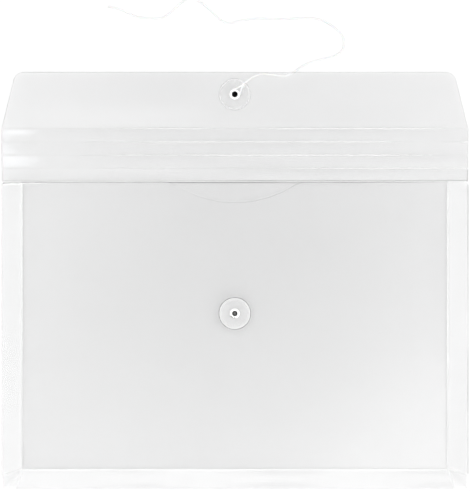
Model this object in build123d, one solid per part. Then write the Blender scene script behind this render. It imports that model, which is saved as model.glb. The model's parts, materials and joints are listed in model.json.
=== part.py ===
from build123d import *
import os
from math import asin, atan, cos, degrees, hypot, pi, radians, sin, sqrt, tan

# A string tie envelope of clear film, lying on its back with the flap open, in millimetres.
# X runs across the envelope, Y from its bottom edge to the end of the flap, and Z is up.
# The origin lies on the table, under the middle of the film's outline.

# Film and its scored creases
film_thickness = 0.5
score_land = 0.1  # film left whole under a scored line
crease_clearance = 0.05  # from each film edge to the crease between them

# Pocket: a front and a back panel, joined by V-shaped gussets on three sides
overall_width = 368.3
panel_height = 226.6
gusset_depth = 15.875
pocket_rest_thickness = 7.5
gusset_full_angle = 68.0  # slope of the gusset films in a full pocket, in degrees
gusset_corner_radius = 2.0
weld_bead_radius = 0.6
weld_clearance = 0.1
mitre_clearance = 1.0  # between the bottom and side gussets in a full pocket
slit_clearance = 0.4  # between the flap and the tops of the side gussets
tuck_clearance = 0.3

# Thumb notch in the front panel's mouth edge
notch_width = 101.0
notch_depth = 13.4
notch_shoulder_radius = 4.0

# Flap: scored strips and a tapered panel
strip_count = 4
strip_pitch = 10.45
flap_panel_length = 44.5
flap_taper = 11.5
flap_corner_radius = 6.3

# Places of the two buttons, measured along the film from the mouth crease
flap_button_distance = 68.8
front_button_distance = 103.8

# Button disc
disc_radius = 12.7
disc_thickness = 1.2
disc_running_clearance = 0.05
rim_width = 1.5
rim_rise = 0.45
rim_chamfer = 0.3
ring_inner_radius = 7.9
ring_outer_radius = 9.5
ring_rise = 0.2

# Eyelet, washer and spacer that hold a disc on the film
eyelet_bore_radius = 1.85
eyelet_wall = 0.35
eyelet_head_radius = 3.75
eyelet_tail_radius = 3.1
eyelet_flange = 0.35
eyelet_chamfer = 0.2
petal_count = 6
petal_slit = 0.3
washer_radius = 3.9
washer_thickness = 0.3
spacer_radius = 2.8
spacer_height = 2.0
stack_clearance = 0.05
film_hole_clearance = 0.1

# String: a noose on the flap button, a knot and a free tail
string_diameter = 1.3
string_sides = 8
noose_clearance = 0.05
knot_clearance = 0.2
knot_distance = 9.85
knot_direction = 48.3  # from +X towards +Y, in degrees
knot_length = 3.6
knot_width = 3.0
knot_height = 1.8
knot_chamfer_share = 0.25  # of the knot's height
string_floor_clearance = 0.05
arc_run_share = 0.45  # of the shorter run beside each corner of the tail

# Route of the tail from the knot: X and Y from the flap button, and the share left of the knot's height
tail_route = [
    (12.2, 12.8, 0.84),
    (20.4, 16.4, 0.46),
    (30.0, 15.8, 0.15),
    (39.4, 14.0, 0),
    (47.0, 17.6, 0),
    (54.2, 23.4, 0),
    (63.4, 26.6, 0),
    (73.8, 29.2, 0),
    (82.6, 31.8, 0),
    (87.0, 38.6, 0),
    (85.2, 47.0, 0),
    (78.2, 53.6, 0),
    (69.6, 58.8, 0),
    (60.2, 60.8, 0),
    (48.0, 60.0, 0),
    (33.0, 59.4, 0),
    (18.0, 60.4, 0),
    (5.0, 58.6, 0),
    (-6.0, 55.6, 0),
    (-13.0, 60.2, 0),
    (-20.0, 67.6, 0),
    (-27.0, 73.0, 0),
    (-35.2, 77.2, 0),
    (-43.2, 72.0, 0),
    (-50.2, 65.0, 0),
    (-58.0, 59.6, 0),
    (-67.2, 60.4, 0),
    (-77.2, 60.8, 0),
    (-85.2, 65.2, 0),
    (-93.4, 68.4, 0),
    (-100.2, 69.4, 0),
]

# Slope of the gusset films and height of their welds, at rest and full
gusset_skew = atan(film_thickness / gusset_depth)
gusset_span = hypot(gusset_depth, film_thickness)
weld_height = pocket_rest_thickness / 2
gusset_rest = asin(weld_height / gusset_span) - gusset_skew
gusset_full = radians(gusset_full_angle)
gusset_reach = gusset_span * cos(gusset_rest + gusset_skew)
mitre_slope = cos(gusset_full)
panel_half_width = overall_width / 2 - gusset_depth

# Tilt of the open flap, which lies on the rim of its disc
disc_base = spacer_height + stack_clearance
disc_face = disc_base + disc_thickness
rim_lever = flap_button_distance - disc_radius + rim_chamfer
flap_tilt = atan((disc_face + rim_rise) / rim_lever)

# Folds of the flap's creases when it lies closed over a full pocket
flap_length = strip_count * strip_pitch + flap_panel_length
crease_fold = (pi - flap_tilt) / (strip_count + 1)
mouth_fold = flap_tilt + crease_fold

# Places along Y
pocket_reach = panel_height + gusset_reach + weld_bead_radius
mouth_y = (pocket_reach - flap_length * cos(flap_tilt)) / 2
bottom_y = mouth_y - panel_height
flap_axis = Axis((0, mouth_y, 0), (1, 0, 0))

eyelet_radius = eyelet_bore_radius + eyelet_wall
film_hole_radius = eyelet_radius + film_hole_clearance


def crease_edge(fold):
    """How far a film edge stands back from its crease on the outer and on the inner face."""
    if fold is None:
        return 0, 0
    outer = score_land * tan(fold / 2) + crease_clearance
    return outer, outer + (film_thickness - score_land) * tan(fold / 2)


def film_section(start, end, start_fold, end_fold):
    """Section of film between two creases, with its outer face on the X axis and its inner face above."""
    start_outer, start_inner = crease_edge(start_fold)
    end_outer, end_inner = crease_edge(end_fold)
    return make_face(
        Polyline(
            (start + start_outer, 0),
            (end - end_outer, 0),
            (end - end_outer, score_land),
            (end - end_inner, film_thickness),
            (start + start_inner, film_thickness),
            (start + start_outer, score_land),
            close=True,
        )
    )


def panel(fold_at_mouth):
    """Flat pocket panel with scored edges, outer face down on the table."""
    across = film_section(-panel_half_width, panel_half_width, gusset_full, gusset_full)
    along = film_section(bottom_y, mouth_y, gusset_full, fold_at_mouth)
    across_slab = extrude(Plane.XZ * across, panel_height, both=True)
    return across_slab & extrude(Plane.YZ * along, panel_half_width, both=True)


def front_panel():
    """Front panel with its thumb notch and the hole for the eyelet."""
    notch_radius = ((notch_width / 2) ** 2 + notch_depth**2) / (2 * notch_depth)
    sheet = Pos(0, bottom_y + panel_height / 2) * Rectangle(overall_width, panel_height)
    sheet -= Pos(0, mouth_y - notch_depth + notch_radius) * Circle(notch_radius)
    shoulders = sheet.vertices().filter_by_position(Axis.X, -notch_width, notch_width)
    sheet = fillet(shoulders, notch_shoulder_radius)
    sheet -= Pos(0, mouth_y - front_button_distance) * Circle(film_hole_radius)
    flat = panel(None) & extrude(sheet, film_thickness)
    return Pos(0, 0, pocket_rest_thickness) * mirror(flat, about=Plane.XY)


def gusset_film(outline, carries_weld):
    """Gusset film on local X from its crease, cut to an outline, with its outer face on the XY plane."""
    end = gusset_depth
    if not carries_weld:
        end -= weld_bead_radius + weld_clearance
    film = extrude(Plane.XZ * film_section(0, end, gusset_full, None), overall_width, both=True)
    if carries_weld:
        weld_line = Plane((gusset_depth, 0, film_thickness), z_dir=(0, 1, 0))
        film += extrude(weld_line * Circle(weld_bead_radius), overall_width, both=True)
    return film & extrude(outline, film_thickness + weld_bead_radius, both=True)


def side_outline():
    """Outline of a side gusset film: X from its crease, Y along the envelope."""
    width = gusset_depth + weld_bead_radius
    low = bottom_y + mitre_clearance
    high = mouth_y - slit_clearance
    corners = [(0, low), (width, low - mitre_slope * width), (width, high), (0, high)]
    sheet = make_face(Polyline(*corners, close=True))
    top_corner = sheet.vertices().group_by(Axis.Y)[-1].sort_by(Axis.X)[-1]
    return fillet(top_corner, gusset_corner_radius)


def bottom_outline():
    """Outline of a bottom gusset film: X from its crease, Y across the envelope."""
    width = gusset_depth + weld_bead_radius
    near = panel_half_width - mitre_clearance
    far = near + mitre_slope * width
    return make_face(Polyline((0, -near), (width, -far), (width, far), (0, near), close=True))


def to_front(solid):
    """The same film on the front sheet."""
    return mirror(solid, about=Plane.XY.offset(weld_height))


def to_left(solid):
    """The same film on the left side."""
    return mirror(solid, about=Plane.YZ)


def gusset_planes():
    """Planes of the right and bottom gusset films, with X away from the crease and Z into the pocket."""
    out, up = cos(gusset_rest), sin(gusset_rest)
    right = Plane((panel_half_width, 0, 0), x_dir=(out, 0, up), z_dir=(-up, 0, out))
    bottom = Plane((0, bottom_y, 0), x_dir=(0, -out, up), z_dir=(0, up, out))
    return right, bottom


def corner_tuck():
    """Film in the right bottom corner of the back sheet, folded along the line where two gussets meet."""
    right, bottom = gusset_planes()
    far = gusset_depth - tuck_clearance
    hip_slope = cos(gusset_rest)
    cut = mitre_slope * far - mitre_clearance + tuck_clearance
    corners = [(tuck_clearance, tuck_clearance * hip_slope), (far, cut), (far, far * hip_slope)]
    beside = make_face(Polyline(*[(x, bottom_y - y) for x, y in corners], close=True))
    below = make_face(Polyline(*[(x, panel_half_width + y) for x, y in corners], close=True))
    inward = [right.z_dir, bottom.z_dir]
    faces = [right * beside, bottom * below]
    walls = [extrude(face, film_thickness, dir=way) for face, way in zip(faces, inward)]
    return walls[0] + walls[1]


def gussets():
    """The six gusset films and the four corner tucks."""
    right, bottom = gusset_planes()
    back_right = right * gusset_film(side_outline(), True)
    front_right = to_front(right * gusset_film(side_outline(), False))
    tuck = corner_tuck()
    return {
        "gusset_back_right": back_right,
        "gusset_back_left": to_left(back_right),
        "gusset_back_bottom": bottom * gusset_film(bottom_outline(), True),
        "gusset_front_right": front_right,
        "gusset_front_left": to_left(front_right),
        "gusset_front_bottom": to_front(bottom * gusset_film(bottom_outline(), False)),
        "corner_tuck_back_right": tuck,
        "corner_tuck_back_left": to_left(tuck),
        "corner_tuck_front_right": to_front(tuck),
        "corner_tuck_front_left": to_front(to_left(tuck)),
    }


def flap_strip(index):
    """One scored strip of the flap, counted from the mouth, before the flap is tilted."""
    start = mouth_y + index * strip_pitch
    start_fold = crease_fold if index else mouth_fold
    section = film_section(start, start + strip_pitch, start_fold, crease_fold)
    return extrude(Plane.YZ * section, overall_width / 2, both=True)


def flap_panel():
    """Tapered end panel of the flap with rounded corners, before the flap is tilted."""
    start = mouth_y + strip_count * strip_pitch
    end = mouth_y + flap_length
    wide = overall_width / 2
    narrow = wide - flap_taper
    sheet = make_face(Polyline((-wide, start), (wide, start), (narrow, end), (-narrow, end), close=True))
    sheet = fillet(sheet.vertices().group_by(Axis.Y)[-1], flap_corner_radius)
    sheet -= Pos(0, mouth_y + flap_button_distance) * Circle(film_hole_radius)
    section = film_section(start, end, crease_fold, None)
    return extrude(Plane.YZ * section, wide, both=True) & extrude(sheet, film_thickness)


def turned(profile):
    """Solid of revolution about Z from a profile of radius and height."""
    return revolve(Plane.XZ * profile, Axis.Z)


def ring(inner_radius, outer_radius, low, high):
    """Plain flat ring."""
    corners = [(inner_radius, low), (outer_radius, low), (outer_radius, high), (inner_radius, high)]
    return turned(make_face(Polyline(*corners, close=True)))


def disc():
    """Button disc with a raised rim and a moulded ring, outer face up."""
    bore = eyelet_radius + disc_running_clearance
    rim_inner = disc_radius - rim_width
    profile = make_face(
        Polyline(
            (bore, disc_base),
            (disc_radius, disc_base),
            (disc_radius, disc_face + rim_rise),
            (rim_inner, disc_face + rim_rise),
            (rim_inner, disc_face),
            (ring_outer_radius, disc_face),
            (ring_outer_radius, disc_face + ring_rise),
            (ring_inner_radius, disc_face + ring_rise),
            (ring_inner_radius, disc_face),
            (bore, disc_face),
            close=True,
        )
    )
    return turned(chamfer(profile.vertices().group_by(Axis.X)[-1], rim_chamfer))


def eyelet():
    """Tubular rivet with a flanged head over the disc and a tail rolled out in petals under the film."""
    tail = -film_thickness - washer_thickness
    head = disc_face + stack_clearance
    profile = make_face(
        Polyline(
            (eyelet_bore_radius, tail - eyelet_flange),
            (eyelet_tail_radius, tail - eyelet_flange),
            (eyelet_tail_radius, tail),
            (eyelet_radius, tail),
            (eyelet_radius, head),
            (eyelet_head_radius, head),
            (eyelet_head_radius, head + eyelet_flange),
            (eyelet_bore_radius, head + eyelet_flange),
            close=True,
        )
    )
    levels = profile.vertices().group_by(Axis.Y)
    body = turned(chamfer(levels[0] + levels[-1], eyelet_chamfer))
    slit = Pos(eyelet_tail_radius, 0, tail - eyelet_flange / 2) * Box(
        2 * (eyelet_tail_radius - eyelet_radius), petal_slit, eyelet_flange
    )
    return body - [Rot(0, 0, turn * degrees(2 * pi) / petal_count) * slit for turn in range(petal_count)]


def button(name, place):
    """The four pieces of a button, on a plane that lies on the film's outer face with Z outwards."""
    inner_radius = eyelet_radius + stack_clearance
    return {
        f"{name}_disc": place * disc(),
        f"{name}_spacer": place * ring(inner_radius, spacer_radius, 0, spacer_height),
        f"{name}_eyelet": place * eyelet(),
        f"{name}_washer": place
        * ring(inner_radius, washer_radius, -film_thickness - washer_thickness, -film_thickness),
    }


def string_section():
    """Flat-sided section of the string."""
    return RegularPolygon(string_diameter / 2, string_sides)


def tube(path):
    """String along a path."""
    return sweep((path ^ 0) * string_section(), path=path)


def string_noose():
    """Noose round the spacer, from one side of the knot to the other, with the button's axis on Z."""
    loop_radius = spacer_radius + string_diameter / 2 + noose_clearance
    spread = degrees(atan(sqrt(knot_distance**2 - loop_radius**2) / loop_radius))
    touch = [Vector(loop_radius, 0).rotate(Axis.Z, knot_direction + way * spread) for way in (1, -1)]
    back = Vector(-loop_radius, 0).rotate(Axis.Z, knot_direction)
    knot = Vector(knot_distance, 0).rotate(Axis.Z, knot_direction)
    ends = [knot + (point - knot).normalized() * (knot_length / 2 + knot_clearance) for point in touch]
    strands = [Line(ends[0], touch[0]), ThreePointArc(touch[0], back, touch[1]), Line(touch[1], ends[1])]
    return tube(Wire(strands))


def string_knot():
    """Flattened knot that closes the noose, with the button's axis on Z."""
    core = extrude(Ellipse(knot_length / 2, knot_width / 2), knot_height / 2, both=True)
    core = chamfer(core.edges(), knot_chamfer_share * knot_height)
    return Rot(0, 0, knot_direction) * Pos(knot_distance, 0) * core


def tail_points(button_place):
    """Route of the free tail from the knot to its cut end."""
    exit_distance = knot_distance + knot_length / 2 + knot_clearance
    leaving = Vector(exit_distance, 0).rotate(Axis.Z, knot_direction)
    leaving = (Pos(*leaving) * button_place).position
    leaving = Vertex(*leaving).rotate(flap_axis, degrees(flap_tilt)).center()
    centre = Vertex(*button_place.position).rotate(flap_axis, degrees(flap_tilt)).center()
    floor = string_diameter / 2 + string_floor_clearance
    drop = leaving.Z - floor
    rest = [Vector(centre.X + x, centre.Y + y, floor + share * drop) for x, y, share in tail_route]
    return [leaving, *rest]


def tie_string(points):
    """Free tail as straight runs joined by the largest arcs that they allow."""
    runs = [after - before for before, after in zip(points, points[1:])]
    turns = [radians(before.get_angle(after)) for before, after in zip(runs, runs[1:])]
    shorter = [min(before.length, after.length) for before, after in zip(runs, runs[1:])]
    radii = [arc_run_share * run / tan(turn / 2) for run, turn in zip(shorter, turns)]
    path = FilletPolyline(*points, radius=radii)
    tail = tube(path.wire())
    expected = string_section().area * path.length
    print("tail radii", [round(radius, 1) for radius in radii])
    print("tail length", round(path.length, 1), "volume ratio", round(tail.volume / expected, 4))
    return tail


def build():
    """All pieces of the envelope by name."""
    front_place = Plane((0, mouth_y - front_button_distance, pocket_rest_thickness))
    flap_place = Plane((0, mouth_y + flap_button_distance, 0), x_dir=(1, 0, 0), z_dir=(0, 0, -1))
    groove = Pos(0, mouth_y + flap_button_distance, -spacer_height / 2)
    flap = {f"flap_strip_{index + 1}": flap_strip(index) for index in range(strip_count)}
    flap["flap_panel"] = flap_panel()
    flap |= button("flap", flap_place)
    flap["string_noose"] = groove * string_noose()
    flap["string_knot"] = groove * string_knot()
    tilted = {name: solid.rotate(flap_axis, degrees(flap_tilt)) for name, solid in flap.items()}
    pieces = {"back_panel": panel(mouth_fold), "front_panel": front_panel()}
    pieces |= gussets() | button("front", front_place) | tilted
    pieces["tie_string"] = tie_string(tail_points(groove))
    return pieces


os.makedirs("parts", exist_ok=True)
for name, solid in build().items():
    export_step(solid, f"parts/{name}.step")
print("mouth and bottom creases at Y", round(mouth_y, 4), round(bottom_y, 4))
print("side creases at X", panel_half_width)
print("weld lines", round(gusset_reach, 4), "beyond the creases at Z", weld_height)
print("gusset slope", round(degrees(gusset_rest), 4), "flap tilt", round(degrees(flap_tilt), 4))
print("flap crease fold", round(degrees(crease_fold), 4))
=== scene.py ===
"""Dresses the string tie envelope: clear scored film, two buttons, a tie string, floor, light and camera."""

import json
import logging
import math
from abc import ABC, abstractmethod
from dataclasses import dataclass, field, replace
from enum import Enum, unique
from typing import Any, Callable, Sequence

import bmesh
import bpy
from mathutils import Matrix, Vector, noise

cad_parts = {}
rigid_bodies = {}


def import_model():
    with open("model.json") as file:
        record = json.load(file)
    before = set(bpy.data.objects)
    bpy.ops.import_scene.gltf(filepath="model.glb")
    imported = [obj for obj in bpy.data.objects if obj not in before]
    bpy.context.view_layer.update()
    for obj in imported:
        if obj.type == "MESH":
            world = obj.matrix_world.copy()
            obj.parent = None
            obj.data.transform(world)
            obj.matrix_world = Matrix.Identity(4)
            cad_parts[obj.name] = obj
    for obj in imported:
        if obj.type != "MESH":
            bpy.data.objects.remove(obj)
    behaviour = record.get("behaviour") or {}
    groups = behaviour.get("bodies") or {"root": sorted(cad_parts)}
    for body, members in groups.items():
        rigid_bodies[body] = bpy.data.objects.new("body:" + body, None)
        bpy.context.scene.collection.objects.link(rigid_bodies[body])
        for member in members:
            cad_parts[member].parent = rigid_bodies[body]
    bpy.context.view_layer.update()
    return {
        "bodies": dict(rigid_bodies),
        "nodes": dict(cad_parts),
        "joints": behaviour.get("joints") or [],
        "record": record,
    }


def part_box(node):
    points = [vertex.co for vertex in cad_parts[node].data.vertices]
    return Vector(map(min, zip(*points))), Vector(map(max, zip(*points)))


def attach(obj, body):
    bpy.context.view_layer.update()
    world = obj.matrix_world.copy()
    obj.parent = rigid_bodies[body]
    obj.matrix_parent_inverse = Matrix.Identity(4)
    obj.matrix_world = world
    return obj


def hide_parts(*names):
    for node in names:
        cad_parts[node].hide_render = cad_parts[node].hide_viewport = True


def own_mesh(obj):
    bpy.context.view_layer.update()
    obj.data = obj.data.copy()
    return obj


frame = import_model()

LOG = logging.getLogger("envelope")
FULL_TURN = 2.0 * math.pi
QUARTER_TURN = FULL_TURN / 4
MERGE_DISTANCE = 1e-7
CUT_DISTANCE = 1e-6
ORIGIN = Vector((0.0, 0.0, 0.0)).freeze()
ACROSS = Vector((1.0, 0.0, 0.0)).freeze()
ALONG = Vector((0.0, 1.0, 0.0)).freeze()
UP = Vector((0.0, 0.0, 1.0)).freeze()

Pair = tuple[float, float]
Triple = tuple[float, float, float]
Material = bpy.types.Material
BMesh = bmesh.types.BMesh
BMVert = bmesh.types.BMVert
BMFace = bmesh.types.BMFace


def grey(level: float) -> Triple:
    """Neutral colour of one level."""
    return (level, level, level)


def ease(share: float) -> float:
    """Smooth step from 0 to 1."""
    share = min(1.0, max(0.0, share))
    return share * share * (3.0 - 2.0 * share)


def rounding_lines(start: float, radius: float, steps: int) -> tuple[float, ...]:
    """Lines at which a rounded corner bends.

    Args:
        start: where the corner starts.
        radius: its radius.
        steps: number of lines.

    Returns:
        The places of the lines.
    """
    return tuple(start + radius * math.sin(QUARTER_TURN * step / steps) for step in range(steps))


def axes_matrix(origin: Vector, across: Vector, along: Vector, inward: Vector) -> Matrix:
    """Matrix from a piece's own axes to the frame.

    Args:
        origin: where its own origin lies.
        across: direction of its own X.
        along: direction of its own Y.
        inward: direction of its own Z.

    Returns:
        The matrix.
    """
    return Matrix.Translation(origin) @ Matrix((across, along, inward)).transposed().to_4x4()


def close_mesh(mesh: BMesh) -> None:
    """Merges doubles and turns all faces outwards."""
    bmesh.ops.remove_doubles(mesh, verts=mesh.verts[:], dist=MERGE_DISTANCE)
    bmesh.ops.recalc_face_normals(mesh, faces=mesh.faces[:])


def extrude(mesh: BMesh, faces: Sequence[BMFace]) -> tuple[list[BMVert], list[BMFace]]:
    """Extrudes faces in place.

    Args:
        mesh: the mesh.
        faces: its faces to extrude.

    Returns:
        The new vertices, which are still to be moved, and the new faces over them.
    """
    made = bmesh.ops.extrude_face_region(mesh, geom=faces)["geom"]
    new_vertices = [item for item in made if isinstance(item, BMVert)]
    new_faces = [item for item in made if isinstance(item, BMFace)]
    return new_vertices, new_faces


def add_object(name: str, data: bpy.types.ID) -> bpy.types.Object:
    """Adds an object to the scene.

    Args:
        name: the object's name.
        data: its mesh, light or camera.

    Returns:
        The object.
    """
    made = bpy.data.objects.new(name, data)
    bpy.context.scene.collection.objects.link(made)
    return made


class Slot(Enum):
    """Material slots of the record."""

    FILM = "clear_film"
    DISC = "clear_disc"
    COLLAR = "clear_collar"
    NICKEL = "nickel"
    STRING = "white_string"


class Wire:
    """An output socket whose sums are written as Python expressions."""

    def __init__(self, graph: "Graph", socket: bpy.types.NodeSocket) -> None:
        """Keeps the socket and the graph that it belongs to."""
        self.graph = graph
        self.socket = socket

    def _sum(self, operation: str, first: Any, second: Any) -> "Wire":
        """Adds one Math node.

        Args:
            operation: name of the Math node's operation.
            first: a number or a wire.
            second: a number or a wire.

        Returns:
            The node's result.
        """
        return self.graph.node("ShaderNodeMath", {"operation": operation}, {0: first, 1: second})

    def __add__(self, other: Any) -> "Wire":
        """Sum of two values."""
        return self._sum("ADD", self, other)

    __radd__ = __add__

    def __sub__(self, other: Any) -> "Wire":
        """Difference of two values."""
        return self._sum("SUBTRACT", self, other)

    def __rsub__(self, other: Any) -> "Wire":
        """Difference with the wire taken away."""
        return self._sum("SUBTRACT", other, self)

    def __mul__(self, other: Any) -> "Wire":
        """Product of two values."""
        return self._sum("MULTIPLY", self, other)

    __rmul__ = __mul__

    def rise(self, low: float, high: float) -> "Wire":
        """Smooth step from 0 at low to 1 at high.

        Args:
            low: value where the step starts.
            high: value where the step ends.

        Returns:
            The stepped value.
        """
        sockets = {"Value": self, "From Min": low, "From Max": high}
        return self.graph.node("ShaderNodeMapRange", {"interpolation_type": "SMOOTHSTEP"}, sockets)


class Graph:
    """A node tree under construction."""

    def __init__(self, tree: bpy.types.NodeTree) -> None:
        """Keeps the tree."""
        self.tree = tree

    def feed(self, socket: bpy.types.NodeSocket, value: Any) -> None:
        """Gives a socket its value or its link.

        Args:
            socket: the input to feed.
            value: a wire, a number, or a colour of three numbers.
        """
        if isinstance(value, Wire):
            self.tree.links.new(value.socket, socket)
        elif socket.type == "RGBA":
            socket.default_value = (*value, 1.0)
        else:
            socket.default_value = value

    def node(
        self,
        kind: str,
        settings: dict[str, Any] | None = None,
        sockets: dict[Any, Any] | None = None,
        output: str | int = 0,
    ) -> Wire:
        """Adds any node.

        Args:
            kind: the node's type.
            settings: properties of the node, set first, with a ramp's stops as pairs of place and level.
            sockets: values or links of its inputs, by name or number.
            output: the output to hand back.

        Returns:
            That output as a wire.
        """
        made = self.tree.nodes.new(kind)
        for key, value in (settings or {}).items():
            if key == "stops":
                self.set_stops(made.color_ramp.elements, value)
            else:
                setattr(made, key, value)
        for key, value in (sockets or {}).items():
            self.feed(made.inputs[key], value)
        return Wire(self, made.outputs[output])

    @staticmethod
    def set_stops(elements: bpy.types.ColorRampElements, stops: Sequence[Pair]) -> None:
        """Gives a ramp its stops.

        Args:
            elements: the ramp's elements.
            stops: place and level of each stop, from the lowest place up.
        """
        while len(elements) < len(stops):
            elements.new(0.5)
        for element, (place, level) in zip(elements, stops):
            element.position = place
            element.color = (*grey(level), 1.0)

    def place(self, space: str = "Object") -> Wire:
        """Coordinates in a space, which is the object's own unless another is named."""
        return self.node("ShaderNodeTexCoord", output=space)

    def coordinate(self, axis: str, space: str = "Object") -> Wire:
        """One coordinate, by the letter of its axis."""
        return self.node("ShaderNodeSeparateXYZ", {}, {0: self.place(space)}, output=axis)


class Recipe(Graph):
    """A material under construction around one Principled shader."""

    MIX_SHARE, MIX_LOW, MIX_HIGH, MIX_RESULT = 0, 6, 7, 2

    def __init__(self, name: str) -> None:
        """Starts the material.

        Args:
            name: the material's name.
        """
        self.material = bpy.data.materials.new(name)
        self.material.use_nodes = True
        super().__init__(self.material.node_tree)
        self.shader = next(node for node in self.tree.nodes if node.type == "BSDF_PRINCIPLED")

    def clouds(self, scale: float, detail: float = 2.0, stretch: Triple = (1.0, 1.0, 1.0)) -> Wire:
        """Noise over the object's own coordinates.

        Args:
            scale: cells per metre.
            detail: octaves of finer noise.
            stretch: scale of each axis.

        Returns:
            Noise from 0 to 1.
        """
        mapped = self.node("ShaderNodeMapping", {}, {"Vector": self.place(), "Scale": stretch})
        return self.node("ShaderNodeTexNoise", {}, {"Vector": mapped, "Scale": scale, "Detail": detail})

    def spot(self, centre: Triple, reach: Triple) -> Wire:
        """Soft round patch.

        Args:
            centre: its middle in the object's own coordinates.
            reach: how far it spreads along each axis.

        Returns:
            1 in the middle, falling to 0 at its border.
        """
        sockets = {"Vector": self.place(), "Location": centre, "Scale": reach}
        mapped = self.node("ShaderNodeMapping", {"vector_type": "TEXTURE"}, sockets)
        away = self.node("ShaderNodeVectorMath", {"operation": "LENGTH"}, {0: mapped}, output="Value")
        return 1.0 - away.rise(0.0, 1.0)

    def tint(self, share: Wire, low: Triple | Wire, high: Triple | Wire) -> Wire:
        """Colour between two colours.

        Args:
            share: 0 for the first colour and 1 for the second.
            low: the first colour.
            high: the second colour.

        Returns:
            The mixed colour.
        """
        sockets = {self.MIX_SHARE: share, self.MIX_LOW: low, self.MIX_HIGH: high}
        return self.node("ShaderNodeMix", {"data_type": "RGBA"}, sockets, output=self.MIX_RESULT)

    def bump(self, height: Wire, depth: float) -> Wire:
        """Relief for the shader's Normal.

        Args:
            height: height field from 0 to 1.
            depth: depth of the relief in metres.

        Returns:
            The bent normal.
        """
        return self.node("ShaderNodeBump", {}, {"Height": height, "Distance": depth, "Strength": 1.0})

    def shade(self, inputs: dict[str, Any]) -> Material:
        """Feeds the Principled shader.

        Args:
            inputs: values or links by input name.

        Returns:
            The finished material.
        """
        for name, value in inputs.items():
            self.feed(self.shader.inputs[name], value)
        return self.material


class Finish(ABC):
    """A finish that makes its own material."""

    def material(self, name: str) -> Material:
        """Makes the material.

        Args:
            name: the material's name.

        Returns:
            The material.
        """
        recipe = Recipe(name)
        return recipe.shade(self.inputs(recipe))

    @abstractmethod
    def inputs(self, recipe: Recipe) -> dict[str, Any]:
        """Works out the shader's inputs.

        Args:
            recipe: the material under construction.

        Returns:
            Values or links by input name.
        """


@dataclass(frozen=True)
class PaintedHighlight:
    """A painted highlight: a soft patch of film drawn towards white, standing in for light that the curled
    film reflects.
    """

    centre: Pair
    reach: Pair
    strength: float


@dataclass(frozen=True)
class FilmFinish(Finish):
    """Clear polypropylene film: hazy, with faint flow lines, a calendered grain and painted highlights in
    soft patches.
    """

    dark: Triple = (0.34, 0.345, 0.35)
    pale: Triple = (0.44, 0.445, 0.45)
    # Bluish white of the painted highlights.
    highlight_tint: Triple = (0.95, 0.965, 1.0)
    opacity: float = 0.078
    haze: float = 0.015
    haze_range: Pair = (0.3, 0.8)
    gloss: float = 0.12
    gloss_spread: float = 0.08
    cloud_scale: float = 11.0
    cloud_detail: float = 3.0
    cloud_share: float = 0.6
    flow_stretch: Triple = (2.0, 180.0, 60.0)
    grain_scale: float = 2400.0
    grain_share: float = 0.9
    grain_depth: float = 0.0000015
    specular: float = 1.0
    index: float = 2.5
    painted_highlights: tuple[PaintedHighlight, ...] = ()
    highlight_floor: float = 0.5

    def inputs(self, recipe: Recipe) -> dict[str, Any]:
        """Works out the film's inputs.

        Args:
            recipe: the material under construction.

        Returns:
            Values or links by input name.
        """
        cloud = recipe.clouds(self.cloud_scale, self.cloud_detail)
        flow = recipe.clouds(1.0, stretch=self.flow_stretch)
        grain = recipe.clouds(self.grain_scale)
        haze = cloud * self.cloud_share + flow * (1.0 - self.cloud_share)
        relief = grain * self.grain_share + flow * (1.0 - self.grain_share)
        colour = recipe.tint(haze, self.dark, self.pale)
        # Each patch is a painted highlight: the colour is drawn towards a bluish white.
        for highlight in self.painted_highlights:
            patch = recipe.spot((*highlight.centre, 0.0), (*highlight.reach, 1.0)) * (self.highlight_floor + haze)
            colour = recipe.tint(patch * highlight.strength, colour, self.highlight_tint)
        return {
            "Base Color": colour,
            "Roughness": self.gloss + haze * self.gloss_spread,
            "Alpha": self.opacity + haze.rise(*self.haze_range) * self.haze,
            "Normal": recipe.bump(relief, self.grain_depth),
            "Specular IOR Level": self.specular,
            "IOR": self.index,
        }


@dataclass(frozen=True)
class LineFinish(Finish):
    """Film along a line, as at a score or a cut edge, lightened or darkened in long stretches: a light line
    is a painted highlight, at a score or fold over the film's own whitening, and a dark line is painted
    shade.

    The tone runs from plain to full, and the opacity from faint to strong. A line that grows does so along
    one axis, from nothing at the first place to its whole strength at the second.
    """

    full_tone: float
    plain: float
    faint: float
    strong: float
    stretch: Triple = (9.0, 60.0, 60.0)
    stretch_detail: float = 1.0
    breaks: Pair = (0.4, 0.6)
    grows: Pair | None = None
    grows_axis: str = "X"
    steady: float = 0.6
    roughness: float = 0.14
    roughness_spread: float = 0.1
    fibre_scale: float = 620.0
    fibre_floor: float = 0.85
    fibre_share: float = 0.3
    fibre_depth: float = 0.000004
    specular: float = 1.0
    index: float = 2.5

    def inputs(self, recipe: Recipe) -> dict[str, Any]:
        """Works out the line's inputs.

        Args:
            recipe: the material under construction.

        Returns:
            Values or links by input name.
        """
        share = recipe.clouds(1.0, self.stretch_detail, self.stretch).rise(*self.breaks)
        if self.grows:
            share = self.steady + share * (1.0 - self.steady)
            share = share * recipe.coordinate(self.grows_axis).rise(*self.grows)
        fine = recipe.clouds(self.fibre_scale)
        share = share * (self.fibre_floor + fine * self.fibre_share)
        return {
            "Base Color": recipe.tint(share, grey(self.plain), grey(self.full_tone)),
            "Roughness": self.roughness + fine * self.roughness_spread,
            "Alpha": self.faint + share * (self.strong - self.faint),
            "Normal": recipe.bump(fine, self.fibre_depth),
            "Specular IOR Level": self.specular,
            "IOR": self.index,
        }


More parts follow.
